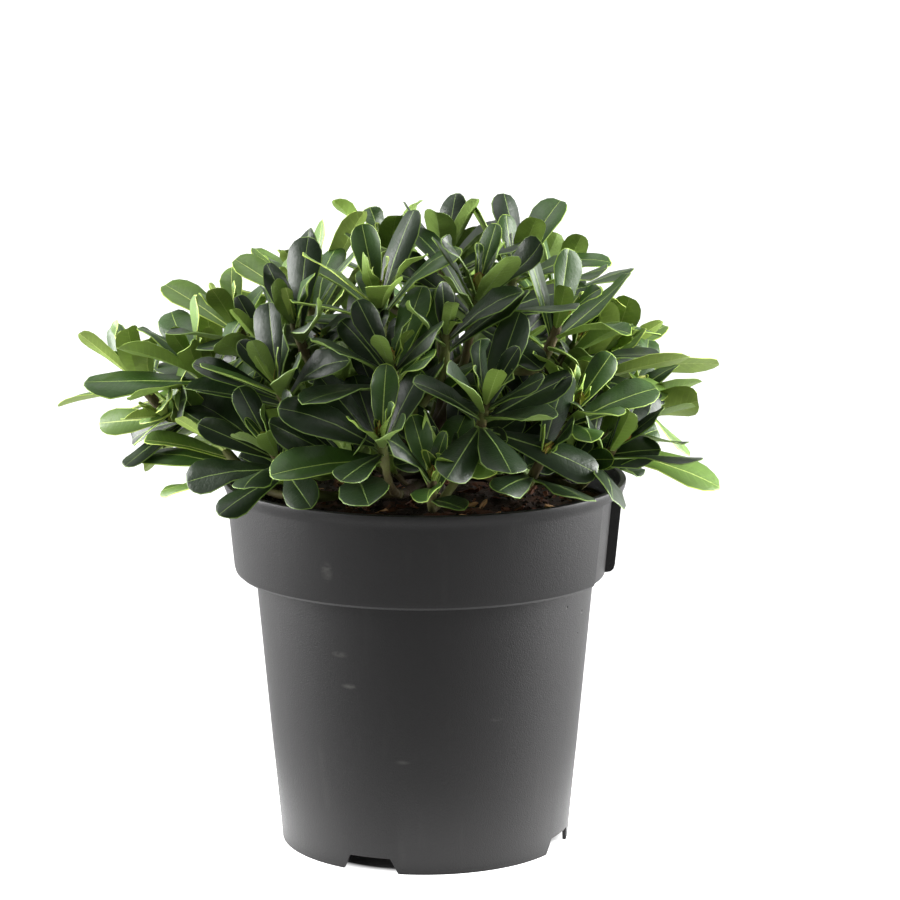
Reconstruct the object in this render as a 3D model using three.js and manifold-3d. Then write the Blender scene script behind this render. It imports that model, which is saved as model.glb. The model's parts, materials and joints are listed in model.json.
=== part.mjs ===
// A dwarf Japanese mock orange, an evergreen shrub of leathery spoon-shaped leaves in whorls, in its nursery pot.
// Millimetres, +Z up. The origin is the middle of the pot's underside, and the front of the plant looks along -Y.
// Bearings are in degrees anticlockwise from +X seen from above, so 270 is the front.
import * as THREE from 'three';
import { mergeVertices } from 'three/addons/utils/BufferGeometryUtils.js';
import Module from 'manifold-3d';

const wasm = await Module();
wasm.setup();

const gap = 0.3; // clearance between two solids that touch in life
const sliver = 0.02; // a corner closer to a flat face than this is dropped

// Pot: a round injection-moulded container with a deep collar and a small lip
const pot = {
  height: 165,
  baseRadius: 64.6,
  bodyTopRadius: 75.7,
  collarBottom: 122.5,
  collarCorner: 3.6, // rounding under the collar
  collarBottomRadius: 84.8,
  collarTopRadius: 88.4,
  lipHeight: 5,
  lipRadius: 89.8,
  lipFlare: 2.8, // height over which the lip swells out of the collar
  wall: 1.7,
  floorBottom: 7.5,
  floorThickness: 2,
  middleFootRadius: 17, // round foot in the middle of the underside
  facets: 44,
};
pot.lipBottom = pot.height - pot.lipHeight;

// Feet: the wall runs down to the ground and has four trapezoid notches for drainage, with a hole behind each
const notch = {
  count: 4,
  bearing: 248,
  height: 7,
  topWidth: 19,
  bottomWidth: 27,
  length: 22,
  holeRadius: 5.5,
  holeReach: 50,
};

// Label pocket: a panel of the collar set back on the right, open below, with a slot behind the lip
const pocket = { from: 331, to: 355, depth: 4.4, web: 1.3, slotWidth: 2, slotMargin: 3 };

// Growing medium: a low mound of peat and bark
const medium = { edgeHeight: 152, shoulderShare: 0.55, shoulderRise: 3.5, crownHeight: 157, flatRadius: 15 };

// Main stem: short and hidden in the crown, with root lobes that flare at its foot
const stem = {
  height: 32,
  footRadius: 10,
  waistRadius: 7,
  topRadius: 6,
  lean: [3, -2],
  flareFall: 7, // how quickly the flare dies away up the stem
  flareLobes: 5,
  lobeDepth: 0.16,
  sides: 10,
  steps: 7,
};

// Tiers: how high up the main stem the boughs of a tier leave it, how steeply, and their radius there
const tiers = {
  skirt: { forkHeight: 7, climb: 14, radius: 2.2 },
  shoulder: { forkHeight: 18, climb: 34, radius: 2.3 },
  crest: { forkHeight: 27, climb: 46, radius: 2.4 },
};

// Branches: the first shoot ends the bough's own line and the others fork from it.
// A shoot is [bearing, reach, height of its tip, bearing of its lowest leaf]. Some branches keep their leaves higher
// or let them hang lower than the others do.
const branches = [
  {
    name: 'front_right',
    tier: 'skirt',
    lowest: 177,
    shoots: [[287, 89, 214, 340], [304, 90, 188, 345], [272, 92, 182, 300]],
  },
  { name: 'front_centre', tier: 'skirt', lowest: 177, shoots: [[259, 97, 200, 285], [248, 84, 188, 232]] },
  { name: 'front_left', tier: 'skirt', lowest: 169, shoots: [[227, 96, 191, 290], [206, 97, 186, 205]] },
  { name: 'left_shoulder', tier: 'shoulder', shoots: [[225, 90, 218, 192], [207, 78, 230, 215]] },
  { name: 'centre', tier: 'shoulder', shoots: [[260, 80, 229, 320], [278, 66, 240, 265]] },
  { name: 'crest_left', tier: 'crest', shoots: [[248, 54, 253, 175], [200, 55, 248, 170], [222, 76, 243, 240]] },
  { name: 'crest_right', tier: 'crest', shoots: [[297, 50, 255, 275], [326, 70, 240, 0]] },
  { name: 'crest_middle', tier: 'crest', shoots: [[40, 12, 264, 150], [12, 42, 258, 30], [118, 38, 259, 110]] },
  { name: 'left', tier: 'shoulder', shoots: [[191, 103, 219, 200], [174, 131, 209, 350], [178, 84, 234, 170]] },
  { name: 'right', tier: 'shoulder', shoots: [[8, 74, 214, 10], [350, 68, 228, 330], [24, 66, 248, 40]] },
  {
    name: 'right_low',
    tier: 'skirt',
    lowest: 171,
    shoots: [[358, 82, 188, 340], [334, 92, 186, 350], [318, 86, 206, 320]],
  },
  { name: 'right_back', tier: 'shoulder', shoots: [[32, 102, 212, 20], [52, 74, 237, 60], [16, 98, 198, 5]] },
  { name: 'back_right', tier: 'skirt', shoots: [[62, 94, 208, 60], [48, 96, 190, 40], [74, 96, 191, 90]] },
  { name: 'back', tier: 'shoulder', shoots: [[92, 84, 226, 100], [76, 52, 250, 70]] },
  { name: 'back_left', tier: 'shoulder', shoots: [[136, 88, 222, 130], [150, 58, 246, 150]] },
  { name: 'left_back', tier: 'skirt', shoots: [[156, 104, 203, 160], [138, 96, 192, 140]] },
  { name: 'back_low', tier: 'skirt', shoots: [[112, 95, 195, 110], [92, 94, 188, 80]] },
];

// How steeply a shoot points up, from how high over a middle point of the crown it stands
const shootClimb = { least: 40, share: 0.5, middleHeight: 150 };

// Boughs and twigs: radii, and where along a branch's line its bough ends and its side twigs fork
const bough = { sides: 5, steps: 5, collar: 0.15, collarFall: 7, tries: 12, tryStep: 1.5, highestFork: 0.97 };
const twig = {
  radius: 2.1,
  tipRadius: 1.8,
  whorlRadius: 3,
  endRadius: 2.4,
  swellFrom: 16, // distance from the tip where the twig is thickest
  sides: 3,
  steps: 4,
  start: 0.6,
  fork: 0.68,
  forkStep: 0.1,
};
const bow = { leaving: 0.36, arriving: 0.34 }; // handles of a limb's curve, as shares of its span

// Whorls: leaves in a spiral up the last stretch of each shoot, the lowest the longest and most open
const whorl = {
  leavesOnLeader: 12,
  leavesOnSide: 9,
  turn: 137.5, // degrees from one leaf to the next up the spiral
  depth: 17, // length of shoot that the leaves take
  footing: 20, // length of shoot that is straight under them
  topInset: 2.5, // how far below the tip the innermost leaf is rooted
  widest: 88, // degrees that the lowest leaf opens from the shoot
  closest: 14,
  openFall: 0.85, // power by which the leaves close towards the tip
  turnJitter: 9,
  openJitter: 7,
  rollJitter: 16,
};

// Leaves: an obovate blade that tapers into a short stalk
const leaf = {
  length: 56,
  innermost: 0.46, // share of the length that the innermost leaf has
  lengthFall: 1.7, // power by which the leaves shorten towards the tip
  lengthJitter: 0.17,
  width: 0.33, // share of the length
  widestAt: 0.68,
  endAt: 0.96,
  endWidth: 0.5, // share of the width
  thickness: 1.7, // of the midrib near the leaf's foot
  thickestAt: 0.26,
  fold: 0.13, // how far the halves fold up, as a share of the width
  endFold: 0.05,
  bend: 26, // degrees that the lowest leaf arches back
  innerBend: 0.3, // share of the bend that the innermost leaf has
  bendJitter: 0.4,
  rootInset: 0.3, // how far from the twig's middle the blade begins
  lowest: 161, // no tip hangs lower than this, unless its branch says otherwise
};

// Finding room: a leaf that is in the way turns, closes up and then shortens, and is left out after the last try
const room = { tries: 8, turn: 11, close: 6, shortenFrom: 4, shorten: 0.82, stalk: 0.3, clearance: 0.1, overlap: 16 };

const colours = { pot: 0x3c3d3f, medium: 0x3a2a20, bark: 0x6b5a45, leaf: 0x35512c };

const { degToRad, radToDeg, lerp } = THREE.MathUtils;

function seededRandom(seed) {
  let state = seed;
  return () => {
    state = (state * 1664525 + 1013904223) % 4294967296;
    return state / 4294967296;
  };
}

function polar(bearing, reach, height) {
  return new THREE.Vector3(reach * Math.cos(degToRad(bearing)), reach * Math.sin(degToRad(bearing)), height);
}

function direction(bearing, climb) {
  return polar(bearing, Math.cos(degToRad(climb)), Math.sin(degToRad(climb)));
}

function solidOf(geometry) {
  const flat = geometry.index ? geometry.toNonIndexed() : geometry;
  const bare = new THREE.BufferGeometry().setAttribute('position', flat.getAttribute('position'));
  const merged = mergeVertices(bare);
  const vertProperties = merged.getAttribute('position').array;
  const triVerts = new Uint32Array(merged.getIndex().array);
  return new wasm.Manifold(new wasm.Mesh({ numProp: 3, vertProperties, triVerts }));
}

function geometryOf(solid) {
  const { vertProperties, triVerts } = solid.getMesh();
  const geometry = new THREE.BufferGeometry();
  geometry.setAttribute('position', new THREE.BufferAttribute(vertProperties, 3));
  geometry.setIndex(new THREE.BufferAttribute(triVerts, 1));
  const faceted = geometry.toNonIndexed();
  faceted.computeVertexNormals();
  return faceted;
}

function withBox(solid) {
  const { min, max } = solid.boundingBox();
  return { solid, box: new THREE.Box3(new THREE.Vector3(...min), new THREE.Vector3(...max)) };
}

// Whether two boxed solids come closer than a clearance
function touches(one, other, clearance) {
  const near = one.box.clone().expandByScalar(clearance).intersectsBox(other.box);
  return near && one.solid.minGap(other.solid, clearance) < clearance;
}

// A solid of revolution about Z, from points that go up the outside and come back to the first one
function turned(points) {
  const profile = points.map(([radius, height]) => new THREE.Vector2(radius, height));
  return solidOf(new THREE.LatheGeometry(profile, pot.facets).rotateX(Math.PI / 2));
}

// A ring between an inner and an outer wall, each given by its radius at the bottom and at the top
function ring([innerBottom, innerTop], [outerBottom, outerTop], bottom, top) {
  const first = [innerBottom, bottom];
  return turned([first, [outerBottom, bottom], [outerTop, top], [innerTop, top], first]);
}

// The wedge of space between two bearings
function sector(from, to) {
  const far = 120;
  const steps = 4;
  const height = 200;
  const shape = new THREE.Shape();
  shape.moveTo(0, 0);
  for (let i = 0; i <= steps; i++) {
    const edge = polar(lerp(from, to, i / steps), far, 0);
    shape.lineTo(edge.x, edge.y);
  }
  shape.closePath();
  return solidOf(new THREE.ExtrudeGeometry(shape, { depth: height, bevelEnabled: false }));
}

function collarRadius(height) {
  const share = (height - pot.collarBottom) / (pot.lipBottom - pot.collarBottom);
  return lerp(pot.collarBottomRadius, pot.collarTopRadius, share);
}

function bodyRadius(height) {
  return lerp(pot.baseRadius, pot.bodyTopRadius, height / pot.collarBottom);
}

// The pot's outside as a full solid, from the ground to the lip
function potOutside() {
  const { collarBottom, collarCorner: corner, lipBottom } = pot;
  const cornerDip = corner * 0.3; // the middle of the rounded corner
  return turned([
    [0, 0],
    [pot.baseRadius, 0],
    [pot.bodyTopRadius, collarBottom],
    [pot.collarBottomRadius - corner, collarBottom],
    [pot.collarBottomRadius - cornerDip, collarBottom + cornerDip],
    [collarRadius(collarBottom + corner), collarBottom + corner],
    [pot.collarTopRadius, lipBottom],
    [pot.lipRadius, lipBottom + pot.lipFlare],
    [pot.lipRadius, pot.height],
    [0, pot.height],
    [0, 0],
  ]);
}

// The hollow inside the pot, held back from the outside by the wall and a clearance.
// The last points give its top, from the wall to the axis.
function potInside(clearance, topPoints) {
  const { collarCorner: corner } = pot;
  const inset = pot.wall + clearance;
  const floor = pot.floorBottom + pot.floorThickness + clearance;
  const shelf = pot.collarBottom + inset;
  return turned([
    [0, floor],
    [bodyRadius(floor) - inset, floor],
    [bodyRadius(shelf) - inset, shelf],
    [collarRadius(shelf) - corner - inset / 2, shelf],
    [collarRadius(shelf + corner) - inset, shelf + corner],
    ...topPoints,
    [0, floor],
  ]);
}

// The shallow hollow under the floor, round the foot in its middle
function potUnderside() {
  const draft = 0.4;
  const outer = pot.baseRadius - pot.wall;
  return ring([pot.middleFootRadius, pot.middleFootRadius], [outer, outer + draft], -1, pot.floorBottom);
}

// One drainage notch: a trapezoid cut through the foot, with a round hole in the floor behind it
function notchCutter(bearing) {
  const below = -1;
  const past = 6; // how far the cut runs out past the wall
  const shape = new THREE.Shape();
  shape.moveTo(-notch.bottomWidth / 2, below);
  shape.lineTo(notch.bottomWidth / 2, below);
  shape.lineTo(notch.topWidth / 2, notch.height);
  shape.lineTo(-notch.topWidth / 2, notch.height);
  shape.closePath();
  const cut = new THREE.ExtrudeGeometry(shape, { depth: notch.length, bevelEnabled: false });
  cut.rotateX(Math.PI / 2).rotateZ(Math.PI / 2).translate(pot.baseRadius + past - notch.length, 0, 0);
  const holeDepth = 3 * pot.floorThickness;
  const hole = new THREE.CylinderGeometry(notch.holeRadius, notch.holeRadius, holeDepth, 12).rotateX(Math.PI / 2);
  hole.translate(notch.holeReach, 0, pot.floorBottom + pot.floorThickness / 2);
  return solidOf(cut.rotateZ(degToRad(bearing))).add(solidOf(hole.rotateZ(degToRad(bearing))));
}

// What the label pocket cuts from the outside, and what it takes from the hollow inside
function pocketParts(clearance) {
  const far = [100, 100];
  const { collarBottom, lipBottom, wall } = pot;
  const inset = wall + clearance;
  const back = [pot.collarBottomRadius - pocket.depth, pot.collarTopRadius - pocket.depth];
  const backInside = back.map((radius) => radius - inset);
  const webAngle = radToDeg((pocket.web + clearance) / pot.collarBottomRadius);
  const cut = ring(back, far, collarBottom - wall, lipBottom).intersect(sector(pocket.from, pocket.to));
  const block = ring(backInside, far, collarBottom - 1, lipBottom + inset)
    .intersect(sector(pocket.from - webAngle, pocket.to + webAngle));
  return { cut, block };
}

// The slot behind the lip that a label slides into
function pocketSlot() {
  const outer = pot.collarTopRadius - pot.wall - gap;
  const inner = outer - pocket.slotWidth;
  const within = sector(pocket.from + pocket.slotMargin, pocket.to - pocket.slotMargin);
  return ring([inner, inner], [outer, outer], pot.lipBottom - 1, pot.height + 1).intersect(within);
}

function makePot() {
  const { cut, block } = pocketParts(0);
  const above = pot.height + 1;
  const hollow = potInside(0, [[collarRadius(above) - pot.wall, above], [0, above]]).subtract(block);
  let solid = potOutside().subtract(cut).subtract(hollow).subtract(potUnderside()).subtract(pocketSlot());
  for (let i = 0; i < notch.count; i++) {
    solid = solid.subtract(notchCutter(notch.bearing + (i * 360) / notch.count));
  }
  return solid;
}

// The growing medium with the root ball in it fills the pot up to a low mound
function makeMedium() {
  const { edgeHeight, crownHeight } = medium;
  const edgeRadius = collarRadius(edgeHeight) - pot.wall - gap;
  const mound = [
    [edgeRadius, edgeHeight],
    [edgeRadius * medium.shoulderShare, edgeHeight + medium.shoulderRise],
    [medium.flatRadius, crownHeight],
    [0, crownHeight],
  ];
  return potInside(gap, mound).subtract(pocketParts(gap).block);
}

// Points along a curve, each with the radius that a limb has there
function stationsOn(curve, radiusAt, steps, from, to) {
  return Array.from({ length: steps + 1 }, (_, i) => {
    const share = i / steps;
    return { point: curve.getPoint(lerp(from, to, share)), radius: radiusAt(share) };
  });
}

// A limb: the rings of a cylinder set square to the path that runs through its stations
function limb(stations, sides, lobeAt = () => 0) {
  const steps = stations.length - 1;
  const geometry = new THREE.CylinderGeometry(1, 1, 1, sides, steps);
  const position = geometry.getAttribute('position');
  const normal = new THREE.Vector3(0.31, 0.95, 0);
  const rings = stations.map(({ point, radius }, i) => {
    const before = stations[Math.max(0, i - 1)].point;
    const after = stations[Math.min(steps, i + 1)].point;
    const tangent = after.clone().sub(before).normalize();
    normal.addScaledVector(tangent, -normal.dot(tangent)).normalize();
    return { point, radius, aside: normal.clone(), binormal: tangent.cross(normal) };
  });
  for (let i = 0; i < position.count; i++) {
    const step = Math.round((0.5 - position.getY(i)) * steps);
    const { point, radius, aside, binormal } = rings[step];
    const angle = Math.atan2(position.getZ(i), position.getX(i));
    const reach = radius * (1 + lobeAt(step / steps, angle));
    const corner = point.clone().addScaledVector(aside, position.getX(i) * reach);
    corner.addScaledVector(binormal, position.getZ(i) * reach);
    position.setXYZ(i, corner.x, corner.y, corner.z);
  }
  return solidOf(geometry);
}

const stemFoot = new THREE.Vector3(0, 0, medium.crownHeight + gap);
const stemMiddle = new THREE.Vector3(0, 0, stemFoot.z + stem.height / 2);
const stemTop = new THREE.Vector3(...stem.lean, stemFoot.z + stem.height);
const stemCurve = new THREE.QuadraticBezierCurve3(stemFoot, stemMiddle, stemTop);

// The main stem, or the room it needs when it is grown by a clearance
function makeStem(clearance) {
  const fall = (share) => Math.exp(-share * stem.flareFall);
  const radiusAt = (share) => {
    const flare = (stem.footRadius - stem.waistRadius) * fall(share);
    return lerp(stem.waistRadius, stem.topRadius, share) + flare + clearance;
  };
  const lobeAt = (share, angle) => stem.lobeDepth * fall(share) * Math.cos(angle * stem.flareLobes);
  return limb(stationsOn(stemCurve, radiusAt, stem.steps, 0, 1), stem.sides, lobeAt);
}

// A curve that leaves one point in one direction and comes to another in a second direction
function bowed(from, leaving, to, arriving) {
  const span = from.distanceTo(to);
  const first = from.clone().addScaledVector(leaving, span * bow.leaving);
  const second = to.clone().addScaledVector(arriving, -span * bow.arriving);
  return new THREE.CubicBezierCurve3(from, first, second, to);
}

// Where a shoot stands, which way it points and where the straight stretch under its whorl begins
function shootPlace([bearing, reach, height, lead]) {
  const outlook = radToDeg(Math.atan2(height - shootClimb.middleHeight, reach));
  const tip = polar(bearing, reach, height);
  const axis = direction(bearing, shootClimb.least + shootClimb.share * outlook);
  return { bearing, lead, tip, axis, foot: tip.clone().addScaledVector(axis, -whorl.footing) };
}

// The curve of a branch, from inside the main stem to the foot of its leading shoot's whorl
function branchCurve(branch, lift) {
  const tier = tiers[branch.tier];
  const forkAt = Math.min(bough.highestFork, (tier.forkHeight + lift) / stem.height);
  const { bearing, axis, foot } = shootPlace(branch.shoots[0]);
  return bowed(stemCurve.getPoint(forkAt), direction(bearing, tier.climb), foot, axis);
}

// All shoots of a branch: the leader, then the side shoots that fork from its twig
function shootsOf(branch, curve) {
  const [leader, ...sides] = branch.shoots.map(shootPlace);
  const forked = sides.map((side, i) => {
    const forkAt = twig.fork + i * twig.forkStep;
    const own = bowed(curve.getPoint(forkAt), curve.getTangent(forkAt), side.foot, side.axis);
    return { ...side, curve: own, from: 0, leaves: whorl.leavesOnSide };
  });
  return [{ ...leader, curve, from: twig.start, leaves: whorl.leavesOnLeader }, ...forked];
}

// A bough tapers from the main stem to just short of its mass's own twig
function makeBough(branch, curve, trunk) {
  const end = twig.start - gap / curve.getLength();
  const collar = (share) => 1 + bough.collar * Math.exp(-share * bough.collarFall);
  const radiusAt = (share) => lerp(tiers[branch.tier].radius, twig.radius, share) * collar(share);
  const whole = limb(stationsOn(curve, radiusAt, bough.steps, 0, end), bough.sides);
  const pieces = whole.subtract(trunk).decompose();
  return pieces.reduce((largest, piece) => (piece.volume() > largest.volume() ? piece : largest));
}

// A twig tapers to the foot of its whorl, then is thicker where the leaves are rooted
function makeTwig(shoot) {
  const taper = (share) => lerp(twig.radius, twig.tipRadius, share);
  const swell = shoot.tip.clone().addScaledVector(shoot.axis, -twig.swellFrom);
  const stations = stationsOn(shoot.curve, taper, twig.steps, shoot.from, 1);
  stations.push({ point: swell, radius: twig.whorlRadius }, { point: shoot.tip, radius: twig.endRadius });
  return limb(stations, twig.sides);
}

// The nth try of a pair goes to one side, then as far to the other
function alternate(attempt) {
  return (attempt % 2 ? 1 : -1) * Math.ceil(attempt / 2);
}

// A branch's bough and twigs, which leave the stem a little higher or lower where others are in the way
function growBranch(branch, index, taken, trunk) {
  for (let attempt = 0; attempt < bough.tries; attempt++) {
    const curve = branchCurve(branch, alternate(attempt) * bough.tryStep);
    const shoots = shootsOf(branch, curve);
    const limbSolid = withBox(makeBough(branch, curve, trunk));
    const twigs = shoots.map((shoot) => withBox(makeTwig(shoot)));
    const blocked = [limbSolid, ...twigs].some((one) => taken.some((other) => touches(one, other, gap)));
    if (!blocked) {
      const lowest = branch.lowest ?? leaf.lowest;
      return { name: branch.name, seed: 101 + index * 37, lowest, shoots, bough: limbSolid, twigs };
    }
  }
  throw new Error(`${branch.name} finds no way through`);
}

// The leaves of a shoot by rule, from the lowest to the innermost
function leavesOf(shoot, random) {
  const jitter = (size) => (random() * 2 - 1) * size;
  return Array.from({ length: shoot.leaves }, (_, i) => {
    const inward = i / (shoot.leaves - 1);
    const open = lerp(whorl.widest, whorl.closest, Math.pow(inward, whorl.openFall));
    const size = leaf.length * lerp(1, leaf.innermost, Math.pow(inward, leaf.lengthFall));
    return {
      bearing: shoot.lead + i * whorl.turn + jitter(whorl.turnJitter),
      open: open + jitter(whorl.openJitter),
      roll: jitter(whorl.rollJitter),
      length: size * (1 + jitter(leaf.lengthJitter)),
      bend: leaf.bend * lerp(1, leaf.innerBend, inward) * (1 + jitter(leaf.bendJitter)),
      down: lerp(whorl.depth, whorl.topInset, inward),
    };
  });
}

// The leaf's root and its own axes: along the blade, out of its upper face, and across it
function leafFrame(shoot, blade, turn, close) {
  const level = polar(blade.bearing + turn, 1, 0);
  const radial = level.addScaledVector(shoot.axis, -level.dot(shoot.axis)).normalize();
  const open = degToRad(blade.open - close);
  const along = shoot.axis.clone().multiplyScalar(Math.cos(open)).addScaledVector(radial, Math.sin(open));
  const face = shoot.axis.clone().multiplyScalar(Math.sin(open)).addScaledVector(radial, -Math.cos(open));
  face.applyAxisAngle(along, degToRad(blade.roll));
  const across = new THREE.Vector3().crossVectors(face, along);
  const root = shoot.tip.clone().addScaledVector(shoot.axis, -blade.down).addScaledVector(radial, leaf.rootInset);
  return { root, along, face, across };
}

// A point of the arched blade: its share of the length, its step to the side and its step out of the upper face
function bladePoint(frame, blade, share, side, lift) {
  const bend = degToRad(blade.bend);
  const angle = bend * share;
  const radius = blade.length / bend;
  const forward = radius * Math.sin(angle) + lift * Math.sin(angle);
  const upward = lift * Math.cos(angle) - radius * (1 - Math.cos(angle));
  return frame.root.clone()
    .addScaledVector(frame.along, forward)
    .addScaledVector(frame.face, upward)
    .addScaledVector(frame.across, side);
}

// A leaf's solid: a pointed root, a blunt outline, and a point above and below the foot of its midrib
function leafSolid(frame, blade, from = 0) {
  const width = blade.length * leaf.width;
  const half = width / 2;
  const endHalf = half * leaf.endWidth;
  const ribAt = Math.max(leaf.thickestAt, from + 0.1);
  const corners = [
    [from, 0, 0],
    [leaf.widestAt, -half, width * leaf.fold],
    [leaf.endAt, -endHalf, width * leaf.endFold],
    [leaf.endAt, endHalf, width * leaf.endFold],
    [leaf.widestAt, half, width * leaf.fold],
    [ribAt, 0, leaf.thickness / 3],
    [ribAt, 0, (-leaf.thickness * 2) / 3],
  ].flatMap(([share, side, lift]) => bladePoint(frame, blade, share, side, lift).toArray());
  const outline = 5;
  const upper = Array.from({ length: outline }, (_, i) => [i, (i + 1) % outline, outline]);
  const lower = Array.from({ length: outline }, (_, i) => [(i + 1) % outline, i, outline + 1]);
  const geometry = new THREE.BufferGeometry();
  geometry.setAttribute('position', new THREE.Float32BufferAttribute(corners, 3));
  geometry.setIndex([...upper, ...lower].flat());
  return solidOf(geometry);
}

// Whether a leaf's tip stays in its own mass's share of the crown
function inOwnSpace(tip, own, crown) {
  const nearest = (branch) => Math.min(...branch.shoots.map((shoot) => shoot.tip.distanceTo(tip)));
  const mine = nearest(own);
  return tip.z > own.lowest && crown.every((other) => other === own || mine < nearest(other) + room.overlap);
}

// The first way that a leaf finds room, or nothing
function placeLeaf(shoot, blade, own, crown, others, kin) {
  for (let attempt = 0; attempt < room.tries; attempt++) {
    if (attempt === room.shortenFrom) blade.length *= room.shorten;
    const frame = leafFrame(shoot, blade, alternate(attempt) * room.turn, Math.floor(attempt / 2) * room.close);
    if (!inOwnSpace(bladePoint(frame, blade, 1, 0, 0), own, crown)) continue;
    const whole = withBox(leafSolid(frame, blade));
    const free = withBox(leafSolid(frame, blade, room.stalk));
    const blocked = others.some((other) => touches(whole, other, gap));
    if (!blocked && !kin.some((other) => touches(free, other, room.clearance))) return { whole, free };
  }
  return null;
}

// One mass: its twigs, fused with each leaf that finds room
function makeMass(own, crown, others) {
  const random = seededRandom(own.seed);
  const twigSolids = own.twigs.map(({ solid }) => solid);
  const placed = own.shoots.flatMap((shoot, i) => {
    const kin = own.twigs.filter((_, k) => k !== i);
    return leavesOf(shoot, random).map((blade) => {
      const found = placeLeaf(shoot, blade, own, crown, others, [...kin, ...(own.blades ?? [])]);
      if (found) own.blades = [...(own.blades ?? []), found.free];
      return found;
    });
  }).filter(Boolean);
  const solid = wasm.Manifold.union([...twigSolids, ...placed.map(({ whole }) => whole.solid)]);
  return { solid, leaves: placed.map(({ whole }) => whole) };
}

function named(name, solid, colour, roughness) {
  const material = new THREE.MeshStandardMaterial({ color: colour, roughness, metalness: 0 });
  const mesh = new THREE.Mesh(geometryOf(solid.simplify(sliver)), material);
  mesh.name = name;
  return mesh;
}

const plant = new THREE.Group();
const potSolid = makePot();
const mediumSolid = makeMedium();
plant.add(named('pot', potSolid, colours.pot, 0.5));
plant.add(named('growing_medium', mediumSolid, colours.medium, 1));
plant.add(named('main_stem', makeStem(0), colours.bark, 0.8));

const ground = [withBox(potSolid), withBox(mediumSolid)];
const trunk = makeStem(gap);
const crown = [];
branches.forEach((branch, index) => {
  const taken = [...ground, ...crown.flatMap((own) => [own.bough, ...own.twigs])];
  const own = growBranch(branch, index, taken, trunk);
  crown.push(own);
  plant.add(named(`bough_${own.name}`, own.bough.solid, colours.bark, 0.8));
});

const limbs = [...ground, withBox(trunk), ...crown.map((own) => own.bough)];
const grown = [];
for (const own of crown) {
  const twigsOfOthers = crown.filter((other) => other !== own).flatMap((other) => other.twigs);
  const { solid, leaves } = makeMass(own, crown, [...limbs, ...twigsOfOthers, ...grown]);
  grown.push(...leaves);
  plant.add(named(`foliage_${own.name}`, solid, colours.leaf, 0.45));
}

export default plant;
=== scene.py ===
# Potted dwarf Japanese mock orange: the looks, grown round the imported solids.
# Metres, +Z up, the front looks along -Y. Sizes and the plant's own rule are written in millimetres and degrees, as in
# the source of the solids.
import json
import math

import bmesh
import bpy
import numpy as np
from mathutils import Matrix, Vector
from mathutils.bvhtree import BVHTree
from mathutils.kdtree import KDTree

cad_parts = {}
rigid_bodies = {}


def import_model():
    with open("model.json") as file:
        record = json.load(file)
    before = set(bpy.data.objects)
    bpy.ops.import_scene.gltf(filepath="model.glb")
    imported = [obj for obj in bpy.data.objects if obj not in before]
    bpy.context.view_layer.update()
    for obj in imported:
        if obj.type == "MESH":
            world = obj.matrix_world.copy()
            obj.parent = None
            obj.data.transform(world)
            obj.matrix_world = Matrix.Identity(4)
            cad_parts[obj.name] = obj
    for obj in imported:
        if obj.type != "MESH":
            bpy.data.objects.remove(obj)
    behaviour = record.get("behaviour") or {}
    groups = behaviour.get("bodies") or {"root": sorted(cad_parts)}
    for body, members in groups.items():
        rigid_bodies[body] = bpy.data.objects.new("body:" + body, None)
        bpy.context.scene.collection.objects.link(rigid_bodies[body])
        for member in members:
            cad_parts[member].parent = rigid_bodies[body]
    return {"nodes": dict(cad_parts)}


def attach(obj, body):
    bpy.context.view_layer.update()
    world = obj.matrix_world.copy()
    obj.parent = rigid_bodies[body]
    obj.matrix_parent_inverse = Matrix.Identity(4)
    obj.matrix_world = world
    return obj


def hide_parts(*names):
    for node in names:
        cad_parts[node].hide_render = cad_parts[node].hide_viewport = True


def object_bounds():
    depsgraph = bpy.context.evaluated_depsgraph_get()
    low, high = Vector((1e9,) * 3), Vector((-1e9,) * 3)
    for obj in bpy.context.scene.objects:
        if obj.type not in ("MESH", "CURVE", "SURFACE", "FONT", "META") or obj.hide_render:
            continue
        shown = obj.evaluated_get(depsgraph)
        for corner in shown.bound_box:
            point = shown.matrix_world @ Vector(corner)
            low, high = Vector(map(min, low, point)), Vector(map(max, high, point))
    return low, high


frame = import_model()
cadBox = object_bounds()
foliageNodes = sorted(name for name in frame["nodes"] if name.startswith("foliage_"))
boughNodes = sorted(name for name in frame["nodes"] if name.startswith("bough_"))
mm = 0.001
fullTurn = 6.283
print("frame loaded:", len(frame["nodes"]), "nodes")


# nodes as expressions

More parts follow.
